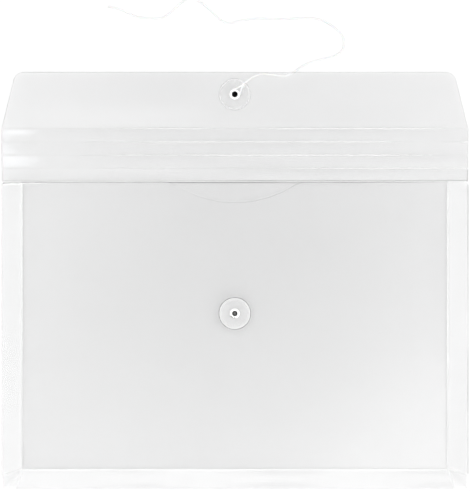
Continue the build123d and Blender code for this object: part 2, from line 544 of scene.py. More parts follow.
@dataclass(frozen=True)
class MouldedFinish(Finish):
    """Moulded clear or natural plastic, with faint swirls from the mould's gate and fine scuffs, and a glow
    of painted light where one is given.
    """

    dark: Triple
    pale: Triple
    opacity: float
    cloudiness: float
    roughness: float
    painted_glow: float = 0.0
    swirl_scale: float = 420.0
    swirl_detail: float = 3.0
    swirl_roughness: float = 0.1
    swirl_depth: float = 0.00003
    scuff_scale: float = 3780.0
    scuff_detail: float = 1.0
    scuff_range: Pair = (0.62, 0.74)
    scuff_roughness: float = 0.12
    coat: float = 0.5

    def inputs(self, recipe: Recipe) -> dict[str, Any]:
        """Works out the plastic's inputs.

        Args:
            recipe: the material under construction.

        Returns:
            Values or links by input name.
        """
        swirl = recipe.clouds(self.swirl_scale, self.swirl_detail)
        scuff = recipe.clouds(self.scuff_scale, self.scuff_detail).rise(*self.scuff_range)
        return {
            "Base Color": recipe.tint(swirl, self.dark, self.pale),
            "Roughness": self.roughness + swirl * self.swirl_roughness + scuff * self.scuff_roughness,
            "Alpha": self.opacity + swirl * self.cloudiness,
            "Normal": recipe.bump(swirl, self.swirl_depth),
            "Coat Weight": self.coat,
            # A glow of painted light, where one is given.
            "Emission Color": grey(self.painted_glow),
            "Emission Strength": 1.0,
        }


@dataclass(frozen=True)
class MetalFinish(Finish):
    """Plated eyelet metal with fine drawing marks and a little tarnish."""

    bright: Triple
    tarnished: Triple
    metallic: float
    roughness: float
    specular: float = 0.5
    tarnish_scale: float = 700.0
    tarnish_detail: float = 3.0
    tarnish_range: Pair = (0.45, 0.75)
    tarnish_roughness: float = 0.12
    mark_stretch: Triple = (900.0, 5200.0, 5200.0)
    mark_roughness: float = 0.08
    mark_depth: float = 0.00001

    def inputs(self, recipe: Recipe) -> dict[str, Any]:
        """Works out the metal's inputs.

        Args:
            recipe: the material under construction.

        Returns:
            Values or links by input name.
        """
        tarnish = recipe.clouds(self.tarnish_scale, self.tarnish_detail).rise(*self.tarnish_range)
        marks = recipe.clouds(1.0, stretch=self.mark_stretch)
        return {
            "Base Color": recipe.tint(tarnish, self.bright, self.tarnished),
            "Metallic": self.metallic,
            "Specular IOR Level": self.specular,
            "Roughness": self.roughness + tarnish * self.tarnish_roughness + marks * self.mark_roughness,
            "Normal": recipe.bump(marks, self.mark_depth),
        }


@dataclass(frozen=True)
class CottonFinish(Finish):
    """Bleached cotton: brighter by the button, with a glow of painted light there, and greyer along its free
    tail.

    Each tone is that of the hollows and that of the fibres between them.
    """

    button_tones: Pair = (0.9, 0.99)
    tail_tones: Pair = (0.8, 0.95)
    tail_range: Pair = (0.1625, 0.1655)
    painted_glow: float = 0.22
    fibre_scale: float = 3600.0
    fibre_detail: float = 3.0
    fibre_share: float = 0.7
    fibre_depth: float = 0.00008
    lump_scale: float = 160.0
    roughness: float = 0.66
    roughness_spread: float = 0.2
    sheen: float = 0.3
    translucence: float = 0.15
    translucent_depth: float = 0.0006

    def inputs(self, recipe: Recipe) -> dict[str, Any]:
        """Works out the cotton's inputs.

        Args:
            recipe: the material under construction.

        Returns:
            Values or links by input name.
        """
        fibres = recipe.clouds(self.fibre_scale, self.fibre_detail)
        share = fibres * self.fibre_share + recipe.clouds(self.lump_scale) * (1.0 - self.fibre_share)
        on_tail = recipe.coordinate("Y").rise(*self.tail_range)
        tones = (self.button_tones, self.tail_tones)
        by_button, full_tone = (recipe.tint(share, grey(hollow), grey(fibre)) for hollow, fibre in tones)
        return {
            "Base Color": recipe.tint(on_tail, by_button, full_tone),
            "Roughness": self.roughness + fibres * self.roughness_spread,
            "Normal": recipe.bump(fibres, self.fibre_depth),
            "Sheen Weight": self.sheen,
            "Subsurface Weight": self.translucence,
            "Subsurface Scale": self.translucent_depth,
            # The part by the button glows: painted light.
            "Emission Color": recipe.tint(on_tail, grey(self.painted_glow), grey(0.0)),
            "Emission Strength": 1.0,
        }


@dataclass(frozen=True)
class FloorFinish(Finish):
    """Pale light table."""

    dark: Triple = grey(0.80)
    pale: Triple = grey(0.84)
    cloud_scale: float = 6.0
    roughness: float = 0.75
    roughness_spread: float = 0.1
    specular: float = 0.1
    glow: float = 0.08

    def inputs(self, recipe: Recipe) -> dict[str, Any]:
        """Works out the floor's inputs.

        Args:
            recipe: the material under construction.

        Returns:
            Values or links by input name.
        """
        cloud = recipe.clouds(self.cloud_scale)
        return {
            "Base Color": recipe.tint(cloud, self.dark, self.pale),
            "Roughness": self.roughness + cloud * self.roughness_spread,
            "Specular IOR Level": self.specular,
            "Emission Color": grey(1.0),
            "Emission Strength": self.glow,
        }


# Painted highlights at the flap's left end, where its curled film would reflect the left softbox.
FLAP_PAINTED_HIGHLIGHTS = (
    PaintedHighlight((-0.172, 0.1175), (0.022, 0.0045), 0.85),
    PaintedHighlight((-0.174, 0.0945), (0.028, 0.011), 0.75),
    PaintedHighlight((-0.186, 0.102), (0.018, 0.036), 0.6),
)
DOWN_THE_SIDE: Triple = (95.0, 9.0, 95.0)
DULL_INDEX = 1.3
SCORED = {"grows": (-0.14, -0.03), "steady": 0.0, "breaks": (0.32, 0.52)}


@unique
class Look(Enum):
    """Every finish of the envelope and its floor."""

    CLEAR_FILM = FilmFinish()
    BACK_FILM = FilmFinish(opacity=0.168)
    FRONT_FILM = FilmFinish(grey(0.84), grey(0.94), opacity=0.018, haze=0.01)
    FLAP_FILM = FilmFinish(opacity=0.138, painted_highlights=FLAP_PAINTED_HIGHLIGHTS)
    STRIP_FILM = FilmFinish(opacity=0.168, haze=0.008, painted_highlights=FLAP_PAINTED_HIGHLIGHTS)
    # Ridges at scores and folds: the film's own whitening with a painted highlight. Grooves beside them:
    # painted shade.
    SCORE_RIDGE = LineFinish(0.99, 0.42, 0.165, 0.38, **SCORED)
    SCORE_GROOVE = LineFinish(0.25, 0.4, 0.165, 0.2, **SCORED)
    FOLD_RIDGE = LineFinish(0.99, 0.9, 0.1, 0.3, DOWN_THE_SIDE, grows=(-0.094, -0.047), grows_axis="Y")
    FOLD_GROOVE = LineFinish(0.1, 0.3, 0.03, 0.075, DOWN_THE_SIDE, index=DULL_INDEX)
    BOTTOM_RIDGE = LineFinish(0.99, 0.9, 0.09, 0.12)
    BOTTOM_GROOVE = LineFinish(0.1, 0.3, 0.02, 0.07, grows=(0.1, 0.04), index=DULL_INDEX)
    # Dark lines at cut edges, along the mouth, the notch and the gusset's mouth end: painted shade.
    # MOUTH_RIDGE and LIP_GLINT: painted highlights.
    FILM_EDGE = LineFinish(0.25, 0.32, 0.145, 0.17, index=DULL_INDEX)
    MOUTH_LIP = LineFinish(0.08, 0.25, 0.03, 0.24, grows=(0.17, 0.12), index=DULL_INDEX)
    MOUTH_SILL = LineFinish(0.08, 0.25, 0.24, 0.3, index=DULL_INDEX)
    MOUTH_LINE = LineFinish(0.08, 0.4, 0.15, 0.25, grows=(-0.06, 0.05), index=DULL_INDEX)
    MOUTH_RIDGE = LineFinish(0.99, 0.42, 0.15, 0.42, grows=(-0.01, 0.06))
    NOTCH_EDGE = LineFinish(0.1, 0.3, 0.03, 0.16, grows=(-0.045, 0.02), index=DULL_INDEX)
    GUSSET_LIP = LineFinish(0.08, 0.15, 0.26, 0.34, index=DULL_INDEX)
    LIP_GLINT = LineFinish(0.99, 0.85, 0.025, 0.42, grows=(-0.145, -0.155))
    # The weld bead: white as a painted highlight on the left and bottom, dark as painted shade on the right.
    WELD_BEAD = LineFinish(0.95, 0.4, 0.05, 0.11, DOWN_THE_SIDE)
    RIGHT_WELD_BEAD = LineFinish(0.1, 0.2, 0.06, 0.15, DOWN_THE_SIDE, index=DULL_INDEX)
    # Disc finishes: the ring walls are painted shade, the raised rim a painted highlight and the outer edge a
    # painted shadow outline. The covered set, for the disc under the flap's film, is paler and clearer to
    # make up for the film's shade.
    CLEAR_DISC = MouldedFinish(grey(0.9), grey(0.98), 0.2, 0.1, 0.14)
    DISC_RING = MouldedFinish(grey(0.4), grey(0.52), 0.19, 0.08, 0.2)
    DISC_RIM = MouldedFinish(grey(0.95), grey(0.99), 0.42, 0.16, 0.2)
    DISC_EDGE = MouldedFinish(grey(0.08), grey(0.16), 0.42, 0.15, 0.2)
    COVERED_DISC = MouldedFinish(grey(0.95), grey(0.99), 0.05, 0.05, 0.14)
    COVERED_RING = MouldedFinish(grey(0.45), grey(0.55), 0.1, 0.06, 0.2)
    # The covered rim also glows as a painted highlight.
    COVERED_RIM = MouldedFinish(grey(0.97), grey(0.99), 0.24, 0.1, 0.2, painted_glow=0.25)
    COVERED_EDGE = MouldedFinish(grey(0.3), grey(0.4), 0.1, 0.06, 0.2)
    NATURAL_COLLAR = MouldedFinish(grey(0.86), grey(0.95), 0.75, 0.15, 0.35)
    BRIGHT_NICKEL = MetalFinish(grey(0.955), grey(0.85), 0.75, 0.28)
    # Near black for the painted shade in the eyelets' bores, round the petals' rolled edge and in the marks
    # on the front head.
    DARK_BORE = MetalFinish(grey(0.004), grey(0.012), 0.0, 0.7, 0.05)
    # Grey for the middle of the front eyelet's web: painted light for what shows down the bore.
    DULL_WEB = MetalFinish(grey(0.2), grey(0.32), 0.3, 0.5)
    WHITE_COTTON = CottonFinish()
    PALE_TABLE = FloorFinish()


@dataclass(frozen=True)
class Shop:
    """Turns meshes into pieces that ride on the frame, dressed from a palette of materials."""

    palette: dict[Look, Material]
    sharp_angle: float = math.radians(38.0)

    @classmethod
    def stocked(cls) -> "Shop":
        """A shop with every look's material, each made once."""
        return cls({look: look.value.material(look.name.lower()) for look in Look})

    def dressed_mesh(self, name: str, mesh: BMesh, looks: Sequence[Look]) -> bpy.types.Mesh:
        """Makes a dressed mesh.

        Args:
            name: the mesh's name.
            mesh: its shape, which is freed.
            looks: its finishes, by face index.

        Returns:
            The mesh.
        """
        data = bpy.data.meshes.new(name)
        mesh.to_mesh(data)
        mesh.free()
        for look in looks:
            data.materials.append(self.palette[look])
        return data

    def piece(
        self, name: str, mesh: BMesh, looks: Sequence[Look], body: str, slot: Slot, nodes: Sequence[str] = ()
    ) -> bpy.types.Object:
        """Makes a piece from a mesh.

        Args:
            name: the piece's name.
            mesh: its shape in the frame's coordinates, which is freed.
            looks: its finishes, by face index.
            body: the body that carries it.
            slot: the record's slot of its finish, which is not used.
            nodes: the CAD nodes that it stands for.

        Returns:
            The piece.
        """
        for face in mesh.faces:
            face.smooth = True
        data = self.dressed_mesh(name, mesh, looks)
        data.set_sharp_from_angle(angle=self.sharp_angle)
        made = add_object(name, data)
        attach(made, body)
        if nodes:
            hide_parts(*nodes)
        LOG.info("%s on %s, %d faces", name, body, len(data.polygons))
        return made


@dataclass(frozen=True)
class Layout:
    """Places of the creases and buttons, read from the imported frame."""

    joints: dict[str, dict[str, Any]]

    @classmethod
    def read(cls, packed: dict[str, Any]) -> "Layout":
        """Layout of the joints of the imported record."""
        return cls({joint["name"]: joint for joint in packed["joints"]})

    def at(self, joint: str) -> Vector:
        """Place of a joint."""
        return Vector(self.joints[joint]["pos_m"])

    def axis(self, joint: str) -> Vector:
        """Direction of a joint's axis."""
        return Vector(self.joints[joint]["axis"]).normalized()

    @property
    def mouth(self) -> float:
        """Y of the mouth crease."""
        return self.at("flap_fold").y

    @property
    def bottom(self) -> float:
        """Y of the bottom crease."""
        return self.at("back_crease_bottom").y

    @property
    def side(self) -> float:
        """X of the right side crease."""
        return self.at("back_crease_right").x

    @property
    def front_level(self) -> float:
        """Z of the front panel's outer face."""
        return self.at("front_crease_left").z

    @property
    def film(self) -> float:
        """Thickness of the film."""
        low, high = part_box("back_panel")
        return high.z - low.z

    @property
    def gusset_weld(self) -> Vector:
        """Way from a gusset's crease to its weld line, outwards and upwards."""
        return (self.at("weld_right") - self.at("back_crease_right")).xz

    @property
    def gusset_slope(self) -> float:
        """Slope of the gusset films at rest, in radians."""
        out, rise = self.gusset_weld
        return math.atan2(rise, out) - math.asin(self.film / self.gusset_weld.length)

    @property
    def gusset_depth(self) -> float:
        """Length of a gusset film from its crease to the weld line."""
        return math.sqrt(self.gusset_weld.length_squared - self.film**2)

    @property
    def spread_limit(self) -> float:
        """Turn of the gusset films from rest to a full pocket, in radians."""
        return math.radians(self.joints["pocket_spread"]["range_deg"][1])

    @property
    def flap_direction(self) -> Vector:
        """Direction along the open flap, from the mouth to its end."""
        return (self.at("flap_crease_5") - self.at("flap_fold")).normalized()

    def flap_axes(self, origin: Vector) -> Matrix:
        """Matrix of axes that lie in the open flap, from an origin on it."""
        return axes_matrix(origin, ACROSS, self.flap_direction, ACROSS.cross(self.flap_direction))


@dataclass(frozen=True)
class Softbox:
    """A flat soft light aimed at the envelope."""

    name: str
    place: Triple
    size: Pair
    power: float

    def build(self) -> None:
        """Adds the light."""
        light = bpy.data.lights.new(self.name, "AREA")
        light.shape = "RECTANGLE"
        light.size, light.size_y = self.size
        light.energy = self.power
        made = add_object(self.name, light)
        made.location = self.place
        made.rotation_euler = Vector(self.place).to_track_quat("Z", "Y").to_euler()


@dataclass(frozen=True)
class Studio:
    """Camera straight above a pale floor, in soft light.

    The room's levels are given by the angle from straight above, in degrees.
    """

    shop: Shop
    image_height: int = 491
    pixel: float = 0.00079
    centre: Pair = (0.00095, 0.0278)
    camera_height: float = 1.6
    sensor: float = 36.0
    floor_width: float = 9.0
    floor_cells: int = 8
    floor_drop: float = 0.0002
    film_layers: int = 32
    room_levels: tuple[Pair, ...] = (
        (90.0, 0.48),
        (50.0, 0.62),
        (40.0, 1.4),
        (10.0, 1.7),
        (6.0, 1.5),
        (2.8, 0.1),
        (0.0, 0.08),
    )
    softboxes: tuple[Softbox, ...] = (
        Softbox("softbox_left", (-0.84, -0.07, 1.15), (0.6, 0.8), 1.15),
        Softbox("softbox_right", (0.84, -0.07, 1.15), (0.6, 0.8), 1.4),
        Softbox("softbox_near", (0.0, -0.83, 1.15), (0.9, 0.3), 1.5),
        Softbox("softbox_corner", (0.33, -0.35, 1.5), (0.35, 0.35), 0.32),
    )

    def build(self) -> None:
        """Adds the camera, the floor, the lights and the room."""
        self.camera()
        self.floor()
        for softbox in self.softboxes:
            softbox.build()
        scene = bpy.context.scene
        scene.view_settings.view_transform = "Standard"
        scene.cycles.transparent_max_bounces = self.film_layers
        self.room()

    def camera(self) -> None:
        """Adds the camera, framed as the photograph is."""
        data = bpy.data.cameras.new("camera")
        data.sensor_width = self.sensor
        data.lens = self.sensor * self.camera_height / (self.pixel * self.image_height)
        made = add_object("camera", data)
        made.location = (*self.centre, self.camera_height)
        bpy.context.scene.camera = made

    def floor(self) -> None:
        """Adds the floor."""
        mesh = bmesh.new()
        cells, half = self.floor_cells, self.floor_width / 2
        drop = Matrix.Translation(-UP * self.floor_drop)
        bmesh.ops.create_grid(mesh, x_segments=cells, y_segments=cells, size=half, matrix=drop)
        add_object("floor", self.shop.dressed_mesh("floor", mesh, [Look.PALE_TABLE]))

    def room(self) -> None:
        """Adds the soft room: bright all round, and dark straight above, where the camera hangs."""
        world = bpy.data.worlds.new("soft_room")
        world.use_nodes = True
        graph = Graph(world.node_tree)
        stops = [(math.cos(math.radians(angle)), level) for angle, level in self.room_levels]
        sockets = {"Fac": graph.coordinate("Z", "Generated")}
        shade = graph.node("ShaderNodeValToRGB", {"stops": stops}, sockets)
        graph.feed(world.node_tree.nodes["Background"].inputs["Color"], shade)
        bpy.context.scene.world = world


@dataclass
class TieString:
    """Twisted cotton string: a noose on the flap button's post, a knot and a free tail.

    The route's points are X and Y from the post's groove, and the share left of the knot's height.
    """

    layout: Layout
    shop: Shop
    diameter: float = 0.0013
    length: float = 0.3
    ply: int = 3
    twist: float = 0.0042
    strand_share: float = 0.33
    helix_share: float = 0.215
    spacing: float = 0.00042
    fray: float = 0.007
    fray_spread: float = 2.2
    fray_thinning: float = 0.55
    floor_level: float = 0.0007
    groove_depth: float = 0.001
    post_radius: float = 0.0028
    noose_steps: int = 16
    noose_shares: Triple = (0.12, 0.4, 0.7)
    knot_distance: float = 0.00985
    knot_direction: float = math.radians(48.3)
    knot_size: Triple = (0.0036, 0.003, 0.0018)
    knot_exit: float = 0.01185
    knot_steps: int = 40
    spline_order: int = 3
    spline_steps: int = 12
    body: str = "flap"
    route: tuple[Triple, ...] = (
        (0.0122, 0.0128, 0.84),
        (0.0204, 0.0164, 0.46),
        (0.0300, 0.0158, 0.15),
        (0.0394, 0.0140, 0.0),
        (0.0470, 0.0176, 0.0),
        (0.0542, 0.0234, 0.0),
        (0.0634, 0.0266, 0.0),
        (0.0738, 0.0292, 0.0),
        (0.0826, 0.0318, 0.0),
        (0.0870, 0.0386, 0.0),
        (0.0852, 0.0470, 0.0),
        (0.0782, 0.0536, 0.0),
        (0.0696, 0.0588, 0.0),
        (0.0602, 0.0608, 0.0),
        (0.0480, 0.0600, 0.0),
        (0.0330, 0.0594, 0.0),
        (0.0180, 0.0604, 0.0),
        (0.0050, 0.0586, 0.0),
        (-0.0060, 0.0556, 0.0),
        (-0.0130, 0.0602, 0.0),
        (-0.0200, 0.0676, 0.0),
        (-0.0270, 0.0730, 0.0),
        (-0.0352, 0.0772, 0.0),
        (-0.0432, 0.0720, 0.0),
        (-0.0502, 0.0650, 0.0),
        (-0.0580, 0.0596, 0.0),
        (-0.0672, 0.0604, 0.0),
        (-0.0772, 0.0608, 0.0),
        (-0.0852, 0.0652, 0.0),
        (-0.0934, 0.0684, 0.0),
        (-0.1002, 0.0694, 0.0),
    )

    @property
    def knot_thickness(self) -> float:
        """Thickness of the string where it is drawn tight in the knot."""
        return self.knot_size[2] / 2

    def build(self) -> None:
        outwards = self.layout.axis("flap_button_turn")
        centre = self.layout.at("flap_button_turn") + outwards * self.groove_depth
        groove = self.layout.flap_axes(centre) @ Matrix.Rotation(self.knot_direction, 4, "Z")
        exit_point = groove @ (ACROSS * self.knot_exit)
        tail_path = self.smooth_line(self.tail_points(centre, exit_point))
        noose_path = self.smooth_line(self.noose_points(groove))
        knot_path = self.smooth_line(self.knot_points(groove))
        tail = self.lay("tie_string_tail", tail_path, "tie_string", self.diameter, frayed=True)
        noose = self.lay("tie_string_noose", noose_path, "string_noose", self.diameter)
        knot = self.lay("tie_string_knot", knot_path, "string_knot", self.knot_thickness)

    def tail_points(self, centre: Vector, exit_point: Vector) -> list[Vector]:
        """Control points of the free tail.

        Args:
            centre: middle of the post's groove.
            exit_point: where the tail leaves the knot.

        Returns:
            The points from the knot to the cut end.
        """
        floor, drop = self.floor_level, exit_point.z - self.floor_level
        laid = [Vector((centre.x + x, centre.y + y, floor + share * drop)) for x, y, share in self.route]
        return [exit_point, *laid]

    def noose_points(self, groove: Matrix) -> list[Vector]:
        """Control points of the noose, from the knot round the post and back.

        Args:
            groove: axes of the groove, with X towards the knot.

        Returns:
            The points.
        """
        steps = self.noose_steps
        radius = (self.post_radius + self.diameter / 2) / math.cos(math.pi / steps)
        touch = math.acos(radius / self.knot_distance)
        turns = [touch + (FULL_TURN - 2 * touch) / steps * step for step in range(steps + 1)]
        loop = [Matrix.Rotation(turn, 4, "Z") @ (ACROSS * radius) for turn in turns]
        knot = ACROSS * self.knot_distance
        leaving = [knot.lerp(loop[0], share) for share in self.noose_shares]
        coming = [knot.lerp(loop[-1], share) for share in reversed(self.noose_shares)]
        return [groove @ point for point in (*leaving, *loop, *coming)]

    def knot_points(self, groove: Matrix) -> list[Vector]:
        """Control points of the overhand knot, a trefoil drawn out to the knot's size.

        Args:
            groove: axes of the groove, with X towards the knot.

        Returns:
            The points.
        """
        half = [(size - self.knot_thickness) / 2 for size in self.knot_size]
        points = []
        for step in range(self.knot_steps):
            turn = FULL_TURN * step / self.knot_steps
            x = (math.sin(turn) + 2 * math.sin(2 * turn)) / 3
            y = (math.cos(turn) - 2 * math.cos(2 * turn)) / 3
            over = -math.sin(3 * turn)
            points.append(groove @ Vector((self.knot_distance + x * half[0], y * half[1], over * half[2])))
        return points

    def spline_mesh(self, kind: str, points: Sequence[Vector], radii: Sequence[float] = ()) -> bpy.types.Mesh:
        """Mesh of a spline: a bare line, or a round strand where radii are given.

        Args:
            kind: type of the spline.
            points: its control points.
            radii: the strand's radius at each point.

        Returns:
            The mesh, which the caller removes.
        """
        data = bpy.data.curves.new("strand", "CURVE")
        data.dimensions = "3D"
        spline = data.splines.new(kind)
        spline.points.add(len(points) - 1)
        for knot, point in zip(spline.points, points):
            knot.co = (*point, 1.0)
        if radii:
            data.bevel_depth = 1.0
            data.bevel_resolution = 1
            data.use_fill_caps = True
            spline.points.foreach_set("radius", radii)
        else:
            spline.order_u = self.spline_order
            spline.use_endpoint_u = True
            spline.resolution_u = self.spline_steps
        holder = bpy.data.objects.new("strand", data)
        made = bpy.data.meshes.new_from_object(holder)
        bpy.data.objects.remove(holder)
        bpy.data.curves.remove(data)
        return made

    def smooth_line(self, points: Sequence[Vector]) -> list[Vector]:
        """Line of a NURBS spline through its control points.

        Args:
            points: control points.

        Returns:
            The points of the line, in order.
        """
        mesh = self.spline_mesh("NURBS", points)
        line = [vertex.co.copy() for vertex in mesh.vertices]
        bpy.data.meshes.remove(mesh)
        return line

    def stations(self, line: Sequence[Vector]) -> list[tuple[Vector, float]]:
        """Evenly spaced stations along a line.

        Args:
            line: points of the line.

        Returns:
            Each station's place and its distance from the start.
        """
        placed = []
        travelled = 0.0
        wanted = 0.0
        for start, end in zip(line, line[1:]):
            run = (end - start).length
            while run > 0 and wanted <= travelled + run:
                placed.append((start.lerp(end, (wanted - travelled) / run), wanted))
                wanted += self.spacing
            travelled += run
        return placed

    def lay(
        self, name: str, line: Sequence[Vector], node: str, diameter: float, frayed: bool = False
    ) -> bpy.types.Object:
        """Lays twisted strands along a line.

        Args:
            name: the piece's name.
            line: points of the line.
            node: the CAD node that the piece stands for.
            diameter: thickness of the string here.
            frayed: whether its far end is cut and frayed.

        Returns:
            The piece.
        """
        placed = self.stations(line)
        mesh = bmesh.new()
        for number in range(self.ply):
            made = self.spline_mesh("POLY", *self.strand(placed, number, diameter, frayed))
            mesh.from_mesh(made)
            bpy.data.meshes.remove(made)
        close_mesh(mesh)
        return self.shop.piece(name, mesh, [Look.WHITE_COTTON], self.body, Slot.STRING, [node])

    def strand(
        self, placed: Sequence[tuple[Vector, float]], number: int, diameter: float, frayed: bool
    ) -> tuple[list[Vector], list[float]]:
        """Route of one strand, twisted round the string's middle.

        Args:
            placed: stations along the string.
            number: number of the strand.
            diameter: thickness of the string here.
            frayed: whether its far end is cut and frayed.

        Returns:
            The strand's points and its radius at each.
        """
        points, radii = [], []
        sideways = UP
        total = placed[-1][1]
        thick = diameter * self.strand_share
        for index, (point, distance) in enumerate(placed):
            ahead = placed[min(index + 1, len(placed) - 1)][0] - placed[max(index - 1, 0)][0]
            ahead.normalize()
            sideways = (sideways - ahead * sideways.dot(ahead)).normalized()
            loose = max(0.0, 1.0 - (total - distance) / self.fray) if frayed else 0.0
            turn = FULL_TURN * (distance / self.twist + number / self.ply)
            reach = diameter * self.helix_share * (1.0 + self.fray_spread * loose**2)
            spot = point + (sideways * math.cos(turn) + ahead.cross(sideways) * math.sin(turn)) * reach
            spot.z = max(spot.z, thick)
            points.append(spot)
            radii.append(thick * (1.0 - self.fray_thinning * loose))
        return points, radii


class Band(Enum):
    """Face finishes of a film, in the order of its materials."""

    FILM = 0
    RIDGE = 1
    GROOVE = 2
    EDGE = 3
    GLINT = 4
    NOTCH = 5
    CREASE = 6


# By default ridges are painted highlights over the film's own whitening, grooves, edges, notches and creases
# painted shade, and the glint a painted highlight.
PLAIN_BANDS: dict[Band, Look] = {
    Band.FILM: Look.CLEAR_FILM,
    Band.RIDGE: Look.SCORE_RIDGE,
    Band.GROOVE: Look.SCORE_GROOVE,
    Band.EDGE: Look.FILM_EDGE,
    Band.GLINT: Look.LIP_GLINT,
    Band.NOTCH: Look.NOTCH_EDGE,
    Band.CREASE: Look.BOTTOM_GROOVE,
}


@dataclass(frozen=True)
class Section:
    """Section of a film towards a border.

    At the border only a share of the thickness is left, and within the first band it is whole again. Each
    band is given by the distance from the border at which it ends, and its finish.
    """

    web_share: float
    bands: tuple[tuple[float, Band], ...]

    def share(self, distance: float) -> float:
        """Share of the thickness at a distance from the border.

        Args:
            distance: how far in from the border.

        Returns:
            The share.
        """
        ramp = self.bands[0][0]
        if distance > ramp:
            return 1.0
        return self.web_share + (1.0 - self.web_share) * max(0.0, distance) / ramp

    def band(self, distance: float) -> Band:
        """Finish at a distance from the border.

        Args:
            distance: how far in from the border.

        Returns:
            The finish.
        """
        for end, band in self.bands:
            if distance < end:
                return band
        return Band.FILM


SCORE_WEB_SHARE = 0.2
HINGE_WEB_SHARE = 0.04
CUT_WEB_SHARE = 0.6
HINGE_RAMP = 0.00037
CUT_RAMP = 0.00015


@unique
class Border(Enum):
    """How a film ends at a border."""

    SCORE = Section(SCORE_WEB_SHARE, ((0.00018, Band.RIDGE), (0.0004, Band.RIDGE), (0.0009, Band.GROOVE)))
    GROOVE = Section(HINGE_WEB_SHARE, ((HINGE_RAMP, Band.FILM),))
    HEM = Section(HINGE_WEB_SHARE, ((HINGE_RAMP, Band.RIDGE), (0.0014, Band.RIDGE), (0.0021, Band.GROOVE)))
    CREASE = Section(HINGE_WEB_SHARE, ((0.0004, Band.FILM), (0.0012, Band.CREASE)))
    FOLD = Section(HINGE_WEB_SHARE, ((HINGE_RAMP, Band.FILM), (0.0012, Band.RIDGE)))
    MOUTH = Section(HINGE_WEB_SHARE, ((HINGE_RAMP, Band.RIDGE), (0.0006, Band.RIDGE), (0.00125, Band.EDGE)))
    SILL = Section(HINGE_WEB_SHARE, ((HINGE_RAMP, Band.FILM), (0.0005, Band.FILM), (0.0012, Band.EDGE)))
    LIP = Section(
        CUT_WEB_SHARE, ((CUT_RAMP, Band.FILM), (0.0005, Band.FILM), (0.0012, Band.EDGE), (0.002, Band.GLINT))
    )
    CUT = Section(CUT_WEB_SHARE, ((CUT_RAMP, Band.EDGE), (0.0008, Band.EDGE)))
    MITRE = Section(CUT_WEB_SHARE, ((CUT_RAMP, Band.FILM),))


class Side(Enum):
    """Borders of a film in its own axes: the axis that a border crosses, and its low or high end."""

    LEFT = (0, 0)
    RIGHT = (0, 1)
    START = (1, 0)
    END = (1, 1)


@dataclass(frozen=True)
class Bow:
    """Gentle waves of a film, flat at its pinned borders and round its button."""

    height: float = 0.0
    waves: Pair = (0.19, 0.16)
    seed: float = 0.0
    pinned: tuple[Side, ...] = ()
    pin_reach: float = 0.03
    arch: float = 0.0


